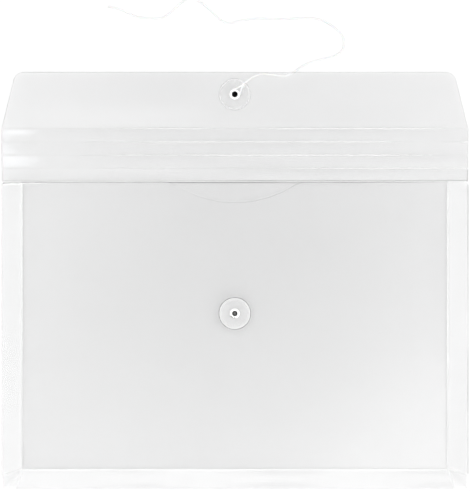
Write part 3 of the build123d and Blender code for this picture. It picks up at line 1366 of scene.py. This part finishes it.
@dataclass
class FilmSheet:
    """One panel of film between its borders, built flat in its own axes and then set in its place.

    Its own X runs across, its own Y runs along from the start, and its own Z points into the pocket.
    """

    node: str
    body: str
    shop: Shop
    place: Matrix
    width: Pair
    reach: Pair
    borders: dict[Side, Border]
    thickness: float
    step: float = 0.005
    outline: Callable[[Vector], None] | None = None
    lines_along: tuple[float, ...] = ()
    hole: Pair | None = None
    hole_radius: float = 0.0023
    hole_margin: float = 0.006
    hole_slack: float = 1.01
    hole_calm: float = 0.012
    hole_steps: int = 48
    notch_half: float = 0.0
    bow: Bow = Bow()
    looks: dict[Band, Look] = field(default_factory=dict)

    def build(self) -> None:
        """Makes the film's piece."""
        mesh = self.grid()
        if self.hole:
            self.punch(mesh)
        self.paint(mesh)
        self.thicken(mesh)
        for vertex in mesh.verts:
            lift = self.wave(vertex.co)
            if self.outline:
                self.outline(vertex.co)
            vertex.co.z += lift
        mesh.transform(self.place)
        bmesh.ops.recalc_face_normals(mesh, faces=mesh.faces[:])
        looks = PLAIN_BANDS | self.looks
        in_order = [looks[band] for band in Band]
        self.shop.piece(f"{self.node}_film", mesh, in_order, self.body, Slot.FILM, [self.node])

    def border_line(self, side: Side, inset: float) -> tuple[int, float]:
        """Line beside a border.

        Args:
            side: the border.
            inset: distance inwards.

        Returns:
            The axis that the line crosses, and its place on that axis.
        """
        axis, end = side.value
        edge = (self.width, self.reach)[axis][end]
        return axis, edge - inset if end else edge + inset

    def distance(self, side: Side, point: Vector) -> float:
        """Distance of a point from a border.

        Args:
            side: the border.
            point: a point in the film's own axes.

        Returns:
            The distance inwards.
        """
        axis, end = side.value
        edge = (self.width, self.reach)[axis][end]
        return edge - point[axis] if end else point[axis] - edge

    def grid(self) -> BMesh:
        """Flat grid with extra lines beside the borders, at the outline's curves and round the hole.

        Returns:
            The mesh.
        """
        mesh = bmesh.new()
        sizes = [high - low for low, high in (self.width, self.reach)]
        middle = [sum(ends) / 2 for ends in (self.width, self.reach)]
        columns, rows = (max(1, round(size / self.step)) for size in sizes)
        bmesh.ops.create_grid(mesh, x_segments=columns, y_segments=rows, size=0.5)
        bmesh.ops.scale(mesh, vec=(*sizes, 1.0), verts=mesh.verts[:])
        bmesh.ops.translate(mesh, vec=(*middle, 0.0), verts=mesh.verts[:])
        for side, border in self.borders.items():
            for inset, _ in border.value.bands:
                self.cut(mesh, *self.border_line(side, inset))
        for line in self.lines_along:
            self.cut(mesh, 1, line)
        for axis, line in enumerate(self.hole or ()):
            self.cut(mesh, axis, line - self.hole_margin)
            self.cut(mesh, axis, line + self.hole_margin)
        return mesh

    @staticmethod
    def cut(mesh: BMesh, axis: int, place: float) -> None:
        """Adds a line across the whole grid.

        Args:
            mesh: the mesh to cut.
            axis: the axis that the line crosses.
            place: where it crosses it.
        """
        normal = (ACROSS, ALONG)[axis]
        geometry = [*mesh.verts, *mesh.edges, *mesh.faces]
        point = normal * place
        bmesh.ops.bisect_plane(mesh, geom=geometry, dist=CUT_DISTANCE, plane_co=point, plane_no=normal)

    def by_hole(self, point: Vector, reach: float) -> bool:
        """Whether a point lies in the square of some reach round the hole."""
        return all(abs(point[axis] - middle) < reach for axis, middle in enumerate(self.hole))

    def punch(self, mesh: BMesh) -> None:
        """Cuts the eyelet's hole.

        Args:
            mesh: the flat grid.
        """
        inside = [face for face in mesh.faces if self.by_hole(face.calc_center_median(), self.hole_margin)]
        bmesh.ops.delete(mesh, geom=inside, context="FACES")
        reach = self.hole_margin * self.hole_slack
        rim = [
            edge
            for edge in mesh.edges
            if edge.is_boundary and all(self.by_hole(vertex.co, reach) for vertex in edge.verts)
        ]
        steps, radius, middle = self.hole_steps, self.hole_radius, Matrix.Translation((*self.hole, 0.0))
        circle = bmesh.ops.create_circle(mesh, segments=steps, radius=radius, matrix=middle)
        round_rim = dict.fromkeys(edge for vertex in circle["verts"] for edge in vertex.link_edges)
        bmesh.ops.bridge_loops(mesh, edges=[*rim, *round_rim])

    def paint(self, mesh: BMesh) -> None:
        """Gives each face the finish of the nearest border's bands.

        Args:
            mesh: the flat grid.
        """
        for face in mesh.faces:
            middle = face.calc_center_median()
            for side, border in self.borders.items():
                band = border.value.band(self.distance(side, middle))
                if band is Band.EDGE and abs(middle.x) < self.notch_half:
                    band = Band.NOTCH
                if band is not Band.FILM:
                    face.material_index = band.value

    def thicken(self, mesh: BMesh) -> None:
        """Gives the film its thickness, thinner at scores and cut edges.

        Args:
            mesh: the flat grid.
        """
        inner, _ = extrude(mesh, mesh.faces[:])
        for vertex in inner:
            distances = [(border, self.distance(side, vertex.co)) for side, border in self.borders.items()]
            shares = [border.value.share(distance) for border, distance in distances]
            vertex.co.z = self.thickness * math.prod(shares)

    def wave(self, point: Vector) -> float:
        """Lift of the film at a point.

        Args:
            point: a point in the film's own axes.

        Returns:
            The lift towards the pocket.
        """
        bow = self.bow
        share = (point.y - self.reach[0]) / (self.reach[1] - self.reach[0])
        lift = bow.arch * math.sin(math.pi * min(1.0, max(0.0, share)))
        if bow.height:
            calm = 1.0
            for side in bow.pinned:
                calm *= ease(self.distance(side, point) / bow.pin_reach)
            if self.hole:
                away = math.hypot(point.x - self.hole[0], point.y - self.hole[1]) - self.hole_calm
                calm *= ease(away / bow.pin_reach)
            spot = Vector((point.x / bow.waves[0], point.y / bow.waves[1], bow.seed))
            lift += bow.height * calm * noise.noise(spot)
        return lift


@dataclass
class Flap:
    """The flap's scored strips and its tapered end panel."""

    layout: Layout
    shop: Shop
    strip_count: int = 4
    taper: float = 0.0115
    taper_start_share: float = 0.55
    corner_radius: float = 0.0063
    corner_steps: int = 8
    mouth_clearance: float = 0.000015
    strip_bow: Bow = Bow(height=0.0003, pinned=(Side.START, Side.END), pin_reach=0.004)
    strip_seed_step: float = 1.7
    panel_bow: Bow = Bow(height=0.0006, seed=9.3, pinned=(Side.START,), pin_reach=0.02)

    @property
    def half(self) -> float:
        """Half the flap's width."""
        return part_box("flap_strip_1")[1].x

    def build(self) -> None:
        """Makes the five films."""
        creases = ["flap_fold", *(f"flap_crease_{index + 2}" for index in range(self.strip_count))]
        starts = [self.layout.at(crease) for crease in creases]
        for index, (start, end) in enumerate(zip(starts, starts[1:])):
            self.strip(index, start, (end - start).length)
        self.end_panel(starts[-1])

    def common(self, start: Vector, first: Border, last: Border) -> dict[str, Any]:
        """What all films of the flap share.

        Args:
            start: middle of the film's first crease.
            first: how the film starts.
            last: how it ends.

        Returns:
            Fields of the film.
        """
        return {
            "shop": self.shop,
            "place": self.layout.flap_axes(start),
            "width": (-self.half, self.half),
            "borders": {Side.LEFT: Border.CUT, Side.RIGHT: Border.CUT, Side.START: first, Side.END: last},
            "thickness": self.layout.film,
        }

    def strip(self, index: int, start: Vector, length: float) -> None:
        """Makes one strip between two scores.

        Args:
            index: place of the strip, with 0 at the mouth.
            start: middle of its first crease.
            length: distance to its second crease.
        """
        at_mouth = index == 0
        # The strips' cut edges are painted shade and their scores get a painted highlight with painted shade
        # beside it; the first strip's mouth has a painted highlight and a line of painted shade.
        looks = {Band.FILM: Look.STRIP_FILM}
        if at_mouth:
            looks |= {Band.EDGE: Look.MOUTH_LINE, Band.RIDGE: Look.MOUTH_RIDGE}
        name = f"flap_strip_{index + 1}"
        FilmSheet(
            node=name,
            body=name,
            reach=(self.mouth_clearance if at_mouth else 0.0, length),
            looks=looks,
            bow=replace(self.strip_bow, seed=self.strip_seed_step * index),
            **self.common(start, Border.MOUTH if at_mouth else Border.SCORE, Border.SCORE),
        ).build()

    def end_panel(self, start: Vector) -> None:
        """Makes the tapered panel with its rounded corners and eyelet hole.

        Args:
            start: middle of its crease.
        """
        along, half = self.layout.flap_direction, self.half
        length = (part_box("flap_panel")[1].y - start.y) / along.y
        button = (self.layout.at("flap_button_turn") - start).dot(along)
        round_start = length - self.corner_radius

        def outline(point: Vector) -> None:
            """Draws the sides in to the taper and the corners.

            Args:
                point: a point of the panel, which is moved.
            """
            edge = half - self.taper * min(point.y, length) / length
            if point.y > round_start:
                rise = min(1.0, (point.y - round_start) / self.corner_radius)
                edge -= self.corner_radius * (1.0 - math.sqrt(1.0 - rise * rise))
            steady = half * self.taper_start_share
            share = max(0.0, (abs(point.x) - steady) / (half - steady))
            point.x -= math.copysign((half - edge) * share, point.x)

        FilmSheet(
            node="flap_panel",
            body="flap",
            reach=(0.0, length),
            looks={Band.FILM: Look.FLAP_FILM},
            outline=outline,
            lines_along=rounding_lines(round_start, self.corner_radius, self.corner_steps),
            hole=(0.0, button),
            bow=self.panel_bow,
            **self.common(start, Border.SCORE, Border.CUT),
        ).build()


class Leaf(Enum):
    """The two sheets of the pocket."""

    BACK = "back"
    FRONT = "front"


class Edge(Enum):
    """The edges of the pocket that a gusset closes."""

    LEFT = "left"
    RIGHT = "right"
    BOTTOM = "bottom"


HANDS: dict[Edge, float] = {Edge.LEFT: -1.0, Edge.RIGHT: 1.0}


@dataclass
class Pocket:
    """Front and back panels, the six gusset films, their welds and the corner tucks."""

    layout: Layout
    shop: Shop
    panel_step: float = 0.004
    panel_bow: Bow = Bow(
        height=0.0011, seed=4.4, pinned=(Side.LEFT, Side.RIGHT, Side.START), pin_reach=0.05
    )
    notch_width: float = 0.101
    notch_depth: float = 0.0162
    notch_shoulder: float = 0.004
    notch_zone: float = 0.045
    mitre_clearance: float = 0.001
    mitre_zone: float = 0.03
    crease_clearance: float = 0.000015
    mouth_clearance: float = 0.0004
    corner_radius: float = 0.002
    corner_steps: int = 5
    gusset_step: float = 0.0026
    gusset_bow: Bow = Bow(
        height=0.0003, waves=(0.07, 0.03), pinned=(Side.START, Side.END), pin_reach=0.006, arch=-0.0003
    )
    gusset_seeds: tuple[float, ...] = (7.1, 8.1, 9.1)
    weld_radius: float = 0.0006
    weld_clearance: float = 0.0001
    weld_end_clearance: float = 0.0012
    weld_sides: int = 10
    weld_step: float = 0.004
    weld_body_share: float = 0.88
    weld_swell_share: float = 0.14
    weld_swell_pitch: float = 0.31
    weld_seeds: tuple[float, ...] = (4.0, 5.0, 6.0)
    weld_seed_row: float = 0.5
    tuck_clearance: float = 0.0003
    tuck_cuts: int = 9
    tuck_smoothings: int = 2
    tuck_smoothing: float = 0.5

    def build(self) -> None:
        """Makes all films of the pocket."""
        self.panels()
        for leaf in Leaf:
            for edge, seed in zip(Edge, self.gusset_seeds):
                self.gusset(leaf, edge, seed)
            for edge in HANDS:
                self.tuck(leaf, edge)
        for edge, seed in zip(Edge, self.weld_seeds):
            self.weld(edge, seed)

    def panels(self) -> None:
        """Makes the back panel and the front panel with its thumb notch."""
        half = self.layout.side - self.crease_clearance
        common = {
            "shop": self.shop,
            "width": (-half, half),
            "reach": (self.layout.bottom + self.crease_clearance, self.layout.mouth),
            "thickness": self.layout.film,
            "notch_half": self.notch_width / 2,
            "step": self.panel_step,
        }
        hem, groove = Border.HEM, Border.GROOVE
        FilmSheet(
            node="back_panel",
            body="back",
            place=axes_matrix(ORIGIN, ACROSS, ALONG, UP),
            borders={Side.LEFT: groove, Side.RIGHT: groove, Side.START: groove, Side.END: Border.SILL},
            # The back panel's mouth is painted dark as shade along the notch.
            looks={Band.FILM: Look.BACK_FILM, Band.EDGE: Look.BACK_FILM, Band.NOTCH: Look.MOUTH_SILL},
            **common,
        ).build()
        FilmSheet(
            node="front_panel",
            body="front",
            place=axes_matrix(UP * self.layout.front_level, ACROSS, ALONG, -UP),
            borders={Side.LEFT: hem, Side.RIGHT: hem, Side.START: Border.CREASE, Side.END: Border.LIP},
            # The front panel's hems get a painted highlight with painted shade beside it, its bottom crease,
            # mouth edge and notch edge painted shade, and its mouth a painted glint.
            looks={
                Band.FILM: Look.FRONT_FILM,
                Band.EDGE: Look.MOUTH_LIP,
                Band.RIDGE: Look.FOLD_RIDGE,
                Band.GROOVE: Look.FOLD_GROOVE,
            },
            outline=self.notch,
            hole=tuple(self.layout.at("front_button_turn").xy),
            bow=self.panel_bow,
            **common,
        ).build()

    def notch(self, point: Vector) -> None:
        """Draws the mouth edge down to the thumb notch.

        Args:
            point: a point of the front panel, which is moved.
        """
        zone_start = self.layout.mouth - self.notch_zone
        share = (point.y - zone_start) / self.notch_zone
        if share > 0.0:
            point.y -= self.notch_drop(abs(point.x)) * share

    def notch_drop(self, away: float) -> float:
        """Depth of the notch at a distance from its middle.

        Args:
            away: distance from the middle.

        Returns:
            The depth below the mouth edge.
        """
        half = self.notch_width / 2
        radius = (half**2 + self.notch_depth**2) / (2 * self.notch_depth)
        shoulder = self.notch_shoulder
        lean = math.asin(half / radius)
        tangent = shoulder * math.tan(lean / 2)
        if away >= half + tangent:
            return 0.0
        if away <= half - tangent * math.cos(lean):
            return math.sqrt(radius**2 - away**2) - (radius - self.notch_depth)
        return shoulder - math.sqrt(max(0.0, shoulder**2 - (half + tangent - away) ** 2))

    def gusset_axes(self, leaf: Leaf, edge: Edge) -> Matrix:
        """Matrix of a gusset film's own axes: along its crease, away from it and into the pocket.

        Args:
            leaf: the sheet that the film belongs to.
            edge: the edge of the pocket.

        Returns:
            The matrix.
        """
        slope = self.layout.gusset_slope
        level, inside = (self.layout.front_level, -UP) if leaf is Leaf.FRONT else (0.0, UP)
        if edge is Edge.BOTTOM:
            crease, along, out = ALONG * self.layout.bottom, ACROSS, -ALONG
        else:
            out = ACROSS * HANDS[edge]
            crease, along = out * self.layout.side, ALONG
        away = out * math.cos(slope) + inside * math.sin(slope)
        inward = inside * math.cos(slope) - out * math.sin(slope)
        return axes_matrix(crease + UP * level, along, away, inward)

    def gusset_depth(self, leaf: Leaf) -> float:
        """Length of a gusset film from its crease, which at the front stops short of the weld bead."""
        bead = self.weld_radius + self.weld_clearance if leaf is Leaf.FRONT else 0.0
        return self.layout.gusset_depth - bead

    def gusset_span(self, edge: Edge) -> Pair:
        """Ends of a gusset film along its crease.

        Args:
            edge: the edge of the pocket.

        Returns:
            The ends, in the film's own axes.
        """
        if edge is Edge.BOTTOM:
            end = self.layout.side - self.mitre_clearance
            return (-end, end)
        return (self.layout.bottom + self.mitre_clearance, self.layout.mouth - self.mouth_clearance)

    @property
    def mitre_slope(self) -> float:
        """Slant of a gusset film's mitred end."""
        return math.cos(self.layout.gusset_slope + self.layout.spread_limit)

    def gusset(self, leaf: Leaf, edge: Edge, seed: float) -> None:
        """Makes one gusset film.

        Args:
            leaf: the sheet that the film belongs to.
            edge: the edge of the pocket.
            seed: seed of its waves.
        """
        depth, width = self.gusset_depth(leaf), self.gusset_span(edge)
        slope, zone, radius = self.mitre_slope, self.mitre_zone, self.corner_radius

        def outline(point: Vector) -> None:
            """Slants the mitred ends and rounds the corner at the mouth.

            Args:
                point: a point of the film, which is moved.
            """
            start_share = max(0.0, 1.0 - (point.x - width[0]) / zone)
            end_share = max(0.0, 1.0 - (width[1] - point.x) / zone)
            if edge is Edge.BOTTOM:
                point.x += slope * point.y * (end_share - start_share)
            else:
                rounding = max(0.0, point.y - depth + radius) / radius
                drop = radius * (1.0 - math.sqrt(max(0.0, 1.0 - rounding**2)))
                point.x -= slope * point.y * start_share + drop * end_share

        # The front left gusset gets a painted highlight along its fold and painted shade and a painted glint
        # at its mouth end; the bottom gussets get the painted fold highlight too.
        shows_fold = (leaf, edge) == (Leaf.FRONT, Edge.LEFT)
        mouth_end = Border.LIP if shows_fold else Border.MITRE
        crease = Border.FOLD if shows_fold or edge is Edge.BOTTOM else Border.GROOVE
        name = f"gusset_{leaf.value}_{edge.value}"
        FilmSheet(
            node=name,
            body=name,
            shop=self.shop,
            place=self.gusset_axes(leaf, edge),
            width=width,
            reach=(self.crease_clearance, depth),
            borders={Side.LEFT: Border.MITRE, Side.RIGHT: mouth_end, Side.START: crease},
            thickness=self.layout.film,
            step=self.gusset_step,
            outline=outline,
            lines_along=rounding_lines(depth - radius, radius, self.corner_steps),
            bow=replace(self.gusset_bow, seed=seed),
            looks={Band.RIDGE: Look.BOTTOM_RIDGE, Band.EDGE: Look.GUSSET_LIP},
        ).build()

    def weld(self, edge: Edge, seed: float) -> None:
        """Makes the weld bead along the meeting line of two gusset films.

        Args:
            edge: the edge of the pocket.
            seed: seed of its swellings.
        """
        axes = self.gusset_axes(Leaf.BACK, edge)
        depth = self.layout.gusset_depth
        overlap = self.mitre_slope * depth - self.weld_end_clearance
        start, end = self.gusset_span(edge)
        start -= overlap
        end += overlap if edge is Edge.BOTTOM else -self.corner_radius
        steps = round((end - start) / self.weld_step)
        mesh = bmesh.new()
        bmesh.ops.create_circle(mesh, cap_ends=True, segments=self.weld_sides, radius=self.weld_radius)
        faces = mesh.faces[:]
        for step in range(steps):
            rim, faces = extrude(mesh, faces)
            bmesh.ops.translate(mesh, vec=UP * ((end - start) / steps), verts=rim)
            wobble = noise.noise(Vector((step * self.weld_swell_pitch, seed, self.weld_seed_row)))
            radius = self.weld_radius * self.weld_body_share * (1.0 + self.weld_swell_share * wobble)
            swell = radius / rim[0].co.xy.length
            bmesh.ops.scale(mesh, vec=(swell, swell, 1.0), verts=rim)
        along, away, inward = (axes.col[axis].xyz for axis in range(3))
        mesh.transform(axes_matrix(axes @ Vector((start, depth, self.layout.film)), away, inward, along))
        close_mesh(mesh)
        # The right bead is painted dark as shade, the others white as a painted highlight.
        look = Look.RIGHT_WELD_BEAD if edge is Edge.RIGHT else Look.WELD_BEAD
        self.shop.piece(f"weld_{edge.value}_bead", mesh, [look], f"gusset_back_{edge.value}", Slot.FILM)

    def tuck(self, leaf: Leaf, edge: Edge) -> None:
        """Makes the folded film in a bottom corner.

        Args:
            leaf: the sheet that the film belongs to.
            edge: the left or right edge of the pocket.
        """
        beside = self.gusset_axes(leaf, edge)
        below = self.gusset_axes(leaf, Edge.BOTTOM)
        turn = HANDS[edge]
        clearance = self.tuck_clearance
        far = self.gusset_depth(leaf) - clearance
        hip = math.cos(self.layout.gusset_slope)
        cut = self.mitre_slope * far - self.mitre_clearance + clearance
        side, bottom = self.layout.side, self.layout.bottom
        corners = [
            beside @ Vector((bottom - clearance * hip, clearance, 0.0)),
            beside @ Vector((bottom - cut, far, 0.0)),
            beside @ Vector((bottom - far * hip, far, 0.0)),
            below @ Vector((turn * (side + cut), far, 0.0)),
        ]
        mesh = bmesh.new()
        near, outer, tip, inner = (mesh.verts.new(corner) for corner in corners)
        mesh.faces.new((near, outer, tip))
        mesh.faces.new((near, tip, inner))
        bmesh.ops.subdivide_edges(mesh, edges=mesh.edges[:], cuts=self.tuck_cuts, use_grid_fill=True)
        creased = [vertex for vertex in mesh.verts if not vertex.is_boundary]
        for _ in range(self.tuck_smoothings):
            bmesh.ops.smooth_vert(mesh, verts=creased, factor=self.tuck_smoothing, use_axis_z=True)
        inward = (beside.col[2].xyz + below.col[2].xyz).normalized()
        upper, _ = extrude(mesh, mesh.faces[:])
        bmesh.ops.translate(mesh, vec=inward * self.layout.film, verts=upper)
        bmesh.ops.recalc_face_normals(mesh, faces=mesh.faces[:])
        node = f"corner_tuck_{leaf.value}_{edge.value}"
        body = f"gusset_{leaf.value}_bottom"
        made = self.shop.piece(f"{node}_film", mesh, [Look.CLEAR_FILM], body, Slot.FILM, [node])
        keep = self.mitre_slope / hip
        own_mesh(made)


class DiscFace(Enum):
    """Face finishes of a disc, in the order of its materials."""

    PLATE = 0
    RING = 1
    RIM = 2
    EDGE = 3


class EyeletFace(Enum):
    """Face finishes of an eyelet, in the order of its materials."""

    PLATED = 0
    BORE = 1
    WEB = 2


BARE_DISC_LOOKS = (Look.CLEAR_DISC, Look.DISC_RING, Look.DISC_RIM, Look.DISC_EDGE)
COVERED_DISC_LOOKS = (Look.COVERED_DISC, Look.COVERED_RING, Look.COVERED_RIM, Look.COVERED_EDGE)
EYELET_LOOKS = (Look.BRIGHT_NICKEL, Look.DARK_BORE, Look.DULL_WEB)
# Directions of painted shade marks at the edge of the front eyelet's rolled head.
FRONT_HEAD_SHADE_MARKS = tuple(math.radians(turn) for turn in (-93.0, -121.0, -141.0))


@dataclass
class Button:
    """A moulded disc that turns on an eyelet, with its spacer and washer.

    Heights are above the film's outer face, towards the disc. The button's name is also that of the body
    that carries it.
    """

    name: str
    layout: Layout
    shop: Shop
    disc_looks: Sequence[Look]
    bore_light_shows: bool = False
    head_shade_marks: tuple[float, ...] = ()
    steps: int = 72
    disc_radius: float = 0.0127
    disc_base: float = 0.00205
    disc_face: float = 0.00325
    bore_clearance: float = 0.00225
    bore_margin: float = 0.000225
    rim_width: float = 0.0015
    rim_rise: float = 0.00045
    ring: Pair = (0.0079, 0.0095)
    ring_rise: float = 0.0002
    ring_slant: float = 0.0003
    fine_rings: Pair = (0.0052, 0.0064)
    fine_ring_width: float = 0.0003
    fine_ring_rise: float = 0.00008
    fine_ring_slant: float = 0.000075
    shoulder: float = 0.00055
    base_chamfer: float = 0.00025
    soft_edge: float = 0.0001
    soft_edge_angle: float = math.radians(40.0)
    flat_limit: float = 0.97
    eyelet_bore: float = 0.00185
    eyelet_radius: float = 0.0022
    eyelet_clearance: float = 0.00005
    head_radius: float = 0.00375
    head_lip_share: float = 0.35
    head_roll_share: float = 0.5
    head_edge_share: float = 0.45
    bore_edge_share: float = 0.4
    tail_radius: float = 0.0031
    flange: float = 0.00035
    washer_radius: float = 0.0039
    washer_thickness: float = 0.0003
    spacer_radius: float = 0.0028
    spacer_height: float = 0.002
    spacer_waist: float = 0.0026
    spacer_flange_share: float = 0.15
    spacer_waist_share: float = 0.3
    spacer_soft_edge: float = 0.00005
    petals: int = 6
    petal_steps: int = 8
    petal_slit: float = 0.00045
    petal_roll: float = 0.00055
    petal_foot_share: float = 0.55
    petal_edge_share: float = 0.6
    petal_tip_share: float = 0.2
    shade_mark_width: float = math.radians(15.0)
    shade_mark_start: float = 0.003
    web: float = 0.0002
    web_spot: float = 0.001

    @property
    def place(self) -> Matrix:
        """Place of the button.

        Returns:
            Matrix from the button's own axes to the frame.
        """
        joint = f"{self.name}_button_turn"
        axis = self.layout.axis(joint)
        return axes_matrix(self.layout.at(joint), ACROSS, axis.cross(ACROSS), axis)

    def build(self) -> None:
        """Makes the button's four pieces."""
        self.disc()
        self.spacer()
        self.washer()
        self.eyelet()

    def lathe(self, profile: Sequence[Pair], soft_edge: float = 0.0) -> BMesh:
        """Turns a closed profile about the button's axis.

        Args:
            profile: radius and height of each corner.
            soft_edge: width of the rounding of its sharp edges.

        Returns:
            The mesh in the button's own axes.
        """
        mesh = bmesh.new()
        corners = [mesh.verts.new((radius, 0.0, height)) for radius, height in profile]
        for first, second in zip(corners, [*corners[1:], corners[0]]):
            mesh.edges.new((first, second))
        outline = [*mesh.verts, *mesh.edges]
        bmesh.ops.spin(
            mesh, geom=outline, cent=ORIGIN, axis=UP, angle=FULL_TURN, steps=self.steps, use_merge=True
        )
        bmesh.ops.dissolve_degenerate(mesh, dist=MERGE_DISTANCE, edges=mesh.edges[:])
        close_mesh(mesh)
        if soft_edge:
            limit = self.soft_edge_angle
            sharp = [edge for edge in mesh.edges if edge.is_manifold and edge.calc_face_angle() > limit]
            bmesh.ops.bevel(
                mesh, geom=sharp, offset=soft_edge, affect="EDGES", segments=2, profile=0.5, material=-1
            )
        return mesh

    def finish(self, part: str, mesh: BMesh, looks: Sequence[Look], body: str, slot: Slot) -> None:
        """Sets a mesh on the button's axis and makes its piece.

        Args:
            part: the part's own name.
            mesh: its mesh in the button's own axes.
            looks: its finishes.
            body: the body that carries it.
            slot: the record's slot of its finish.
        """
        mesh.transform(self.place)
        close_mesh(mesh)
        self.shop.piece(f"{self.name}_button_{part}", mesh, looks, body, slot, [f"{self.name}_{part}"])

    def disc(self) -> None:
        """Makes the disc, with its rim, its moulded ring and finer rings."""
        base, face, radius, chamfer = self.disc_base, self.disc_face, self.disc_radius, self.base_chamfer
        rim_inner = radius - self.rim_width
        top = face + self.rim_rise
        profile = [(self.bore_clearance, base), (radius - chamfer, base), (radius, base + chamfer)]
        profile += [(radius, top - self.shoulder / 2), (radius - self.shoulder, top)]
        profile += [(rim_inner + self.ring_slant, top), (rim_inner, face)]
        rings = [(*self.ring, self.ring_rise, self.ring_slant)]
        for inner in reversed(self.fine_rings):
            rings.append((inner, inner + self.fine_ring_width, self.fine_ring_rise, self.fine_ring_slant))
        for inner, outer, rise, slant in rings:
            profile += [(outer, face), (outer - slant, face + rise)]
            profile += [(inner + slant, face + rise), (inner, face)]
        profile.append((self.bore_clearance, face))
        mesh = self.lathe(profile)
        # Slanted outer faces get a painted shadow outline, the raised rim a painted highlight and the slanted
        # ring walls painted shade.
        for item in mesh.faces:
            middle = item.calc_center_median()
            away = middle.xy.length
            slanted = abs(item.normal.z) < self.flat_limit
            if away > radius - self.shoulder and slanted:
                item.material_index = DiscFace.EDGE.value
            elif away > rim_inner and middle.z > face:
                item.material_index = DiscFace.RIM.value
            elif away > self.bore_clearance + self.bore_margin and slanted:
                item.material_index = DiscFace.RING.value
        self.finish("disc", mesh, self.disc_looks, f"{self.name}_button", Slot.DISC)

    def spacer(self) -> None:
        """Makes the waisted collar that the string is wound on."""
        inner = self.eyelet_radius + self.eyelet_clearance
        outer, waist, top = self.spacer_radius, self.spacer_waist, self.spacer_height
        flange, slope_end = top * self.spacer_flange_share, top * self.spacer_waist_share
        profile = [(inner, 0.0), (outer, 0.0), (outer, flange), (waist, slope_end)]
        profile += [(waist, top - slope_end), (outer, top - flange), (outer, top), (inner, top)]
        mesh = self.lathe(profile, self.spacer_soft_edge)
        self.finish("spacer", mesh, [Look.NATURAL_COLLAR], self.name, Slot.COLLAR)

    def washer(self) -> None:
        """Makes the washer on the film's other face."""
        inner, outer = self.eyelet_radius + self.eyelet_clearance, self.washer_radius
        high = -self.layout.film
        low = high - self.washer_thickness
        mesh = self.lathe([(inner, low), (outer, low), (outer, high), (inner, high)], self.soft_edge)
        self.finish("washer", mesh, [Look.BRIGHT_NICKEL], self.name, Slot.NICKEL)

    def eyelet(self) -> None:
        """Makes the eyelet: a barrel with a rolled head, a web inside it and a tail split into petals."""
        tail = -self.layout.film - self.washer_thickness
        head = self.disc_face + self.eyelet_clearance
        middle = (tail + head) / 2
        bore, wall, reach, top = self.eyelet_bore, self.eyelet_radius, self.head_radius, head + self.flange
        roll = (reach - wall) / 2
        lip = bore + roll * self.head_lip_share
        profile = [(0.0, middle), (self.web_spot, middle), (bore, middle)]
        profile += [(bore, top - self.flange * self.bore_edge_share), (lip, top), (self.shade_mark_start, top)]
        profile += [(reach - roll * self.head_roll_share, top)]
        profile += [(reach, head + self.flange * self.head_edge_share), (reach - self.soft_edge, head)]
        profile += [(wall, head), (wall, tail), (bore, tail)]
        profile += [(bore, middle - self.web), (0.0, middle - self.web)]
        mesh = self.lathe(profile)
        self.add_petals(mesh, tail)
        for item in mesh.faces:
            spot = item.calc_center_median()
            away = spot.xy.length
            # The bore and the petals' rolled edge round it are painted near black as shade.
            in_bore = away < (lip if spot.z > tail else bore + self.petal_roll)
            on_head = away > self.shade_mark_start and spot.z > head
            # On the front eyelet the web's middle is painted grey as light seen down the bore.
            if away < self.web_spot and spot.z > tail and self.bore_light_shows:
                item.material_index = EyeletFace.WEB.value
            elif in_bore or (on_head and self.in_shade_mark(math.atan2(spot.y, spot.x))):
                item.material_index = EyeletFace.BORE.value
        self.finish("eyelet", mesh, EYELET_LOOKS, self.name, Slot.NICKEL)

    def in_shade_mark(self, turn: float) -> bool:
        """Whether a painted shade mark lies on the rolled head in a direction."""
        return any(abs(turn - split) < self.shade_mark_width / 2 for split in self.head_shade_marks)

    def add_petals(self, mesh: BMesh, tail: float) -> None:
        """Rolls the split tail out over the washer.

        Args:
            mesh: the eyelet's mesh.
            tail: height of the washer's outer face.
        """
        bore, reach, flange = self.eyelet_bore, self.tail_radius, self.flange
        section = [(bore, tail), (bore, tail - flange * self.petal_foot_share)]
        section += [(bore + self.petal_roll, tail - flange), (reach - flange, tail - flange)]
        section += [(reach - flange * self.petal_tip_share, tail - flange * self.petal_edge_share)]
        section += [(reach, tail)]
        slit = self.petal_slit / reach
        sweep = FULL_TURN / self.petals - slit
        for petal in range(self.petals):
            start = Matrix.Rotation(FULL_TURN * petal / self.petals + slit / 2, 3, "Z")
            corners = [mesh.verts.new((radius, 0.0, height)) for radius, height in section]
            face = mesh.faces.new(corners)
            bmesh.ops.rotate(mesh, verts=corners, cent=ORIGIN, matrix=start)
            outline = [*face.verts, *face.edges, face]
            bmesh.ops.spin(mesh, geom=outline, cent=ORIGIN, axis=UP, angle=sweep, steps=self.petal_steps)


def main() -> None:
    """Builds the studio and the envelope's sub-assemblies."""
    logging.basicConfig(level=logging.INFO, format="%(message)s")
    layout = Layout.read(frame)
    shop = Shop.stocked()
    Studio(shop).build()
    TieString(layout, shop).build()
    Flap(layout, shop).build()
    Pocket(layout, shop).build()
    Button("flap", layout, shop, COVERED_DISC_LOOKS).build()
    Button("front", layout, shop, BARE_DISC_LOOKS, bore_light_shows=True, head_shade_marks=FRONT_HEAD_SHADE_MARKS).build()


if __name__ == "__main__":
    main()
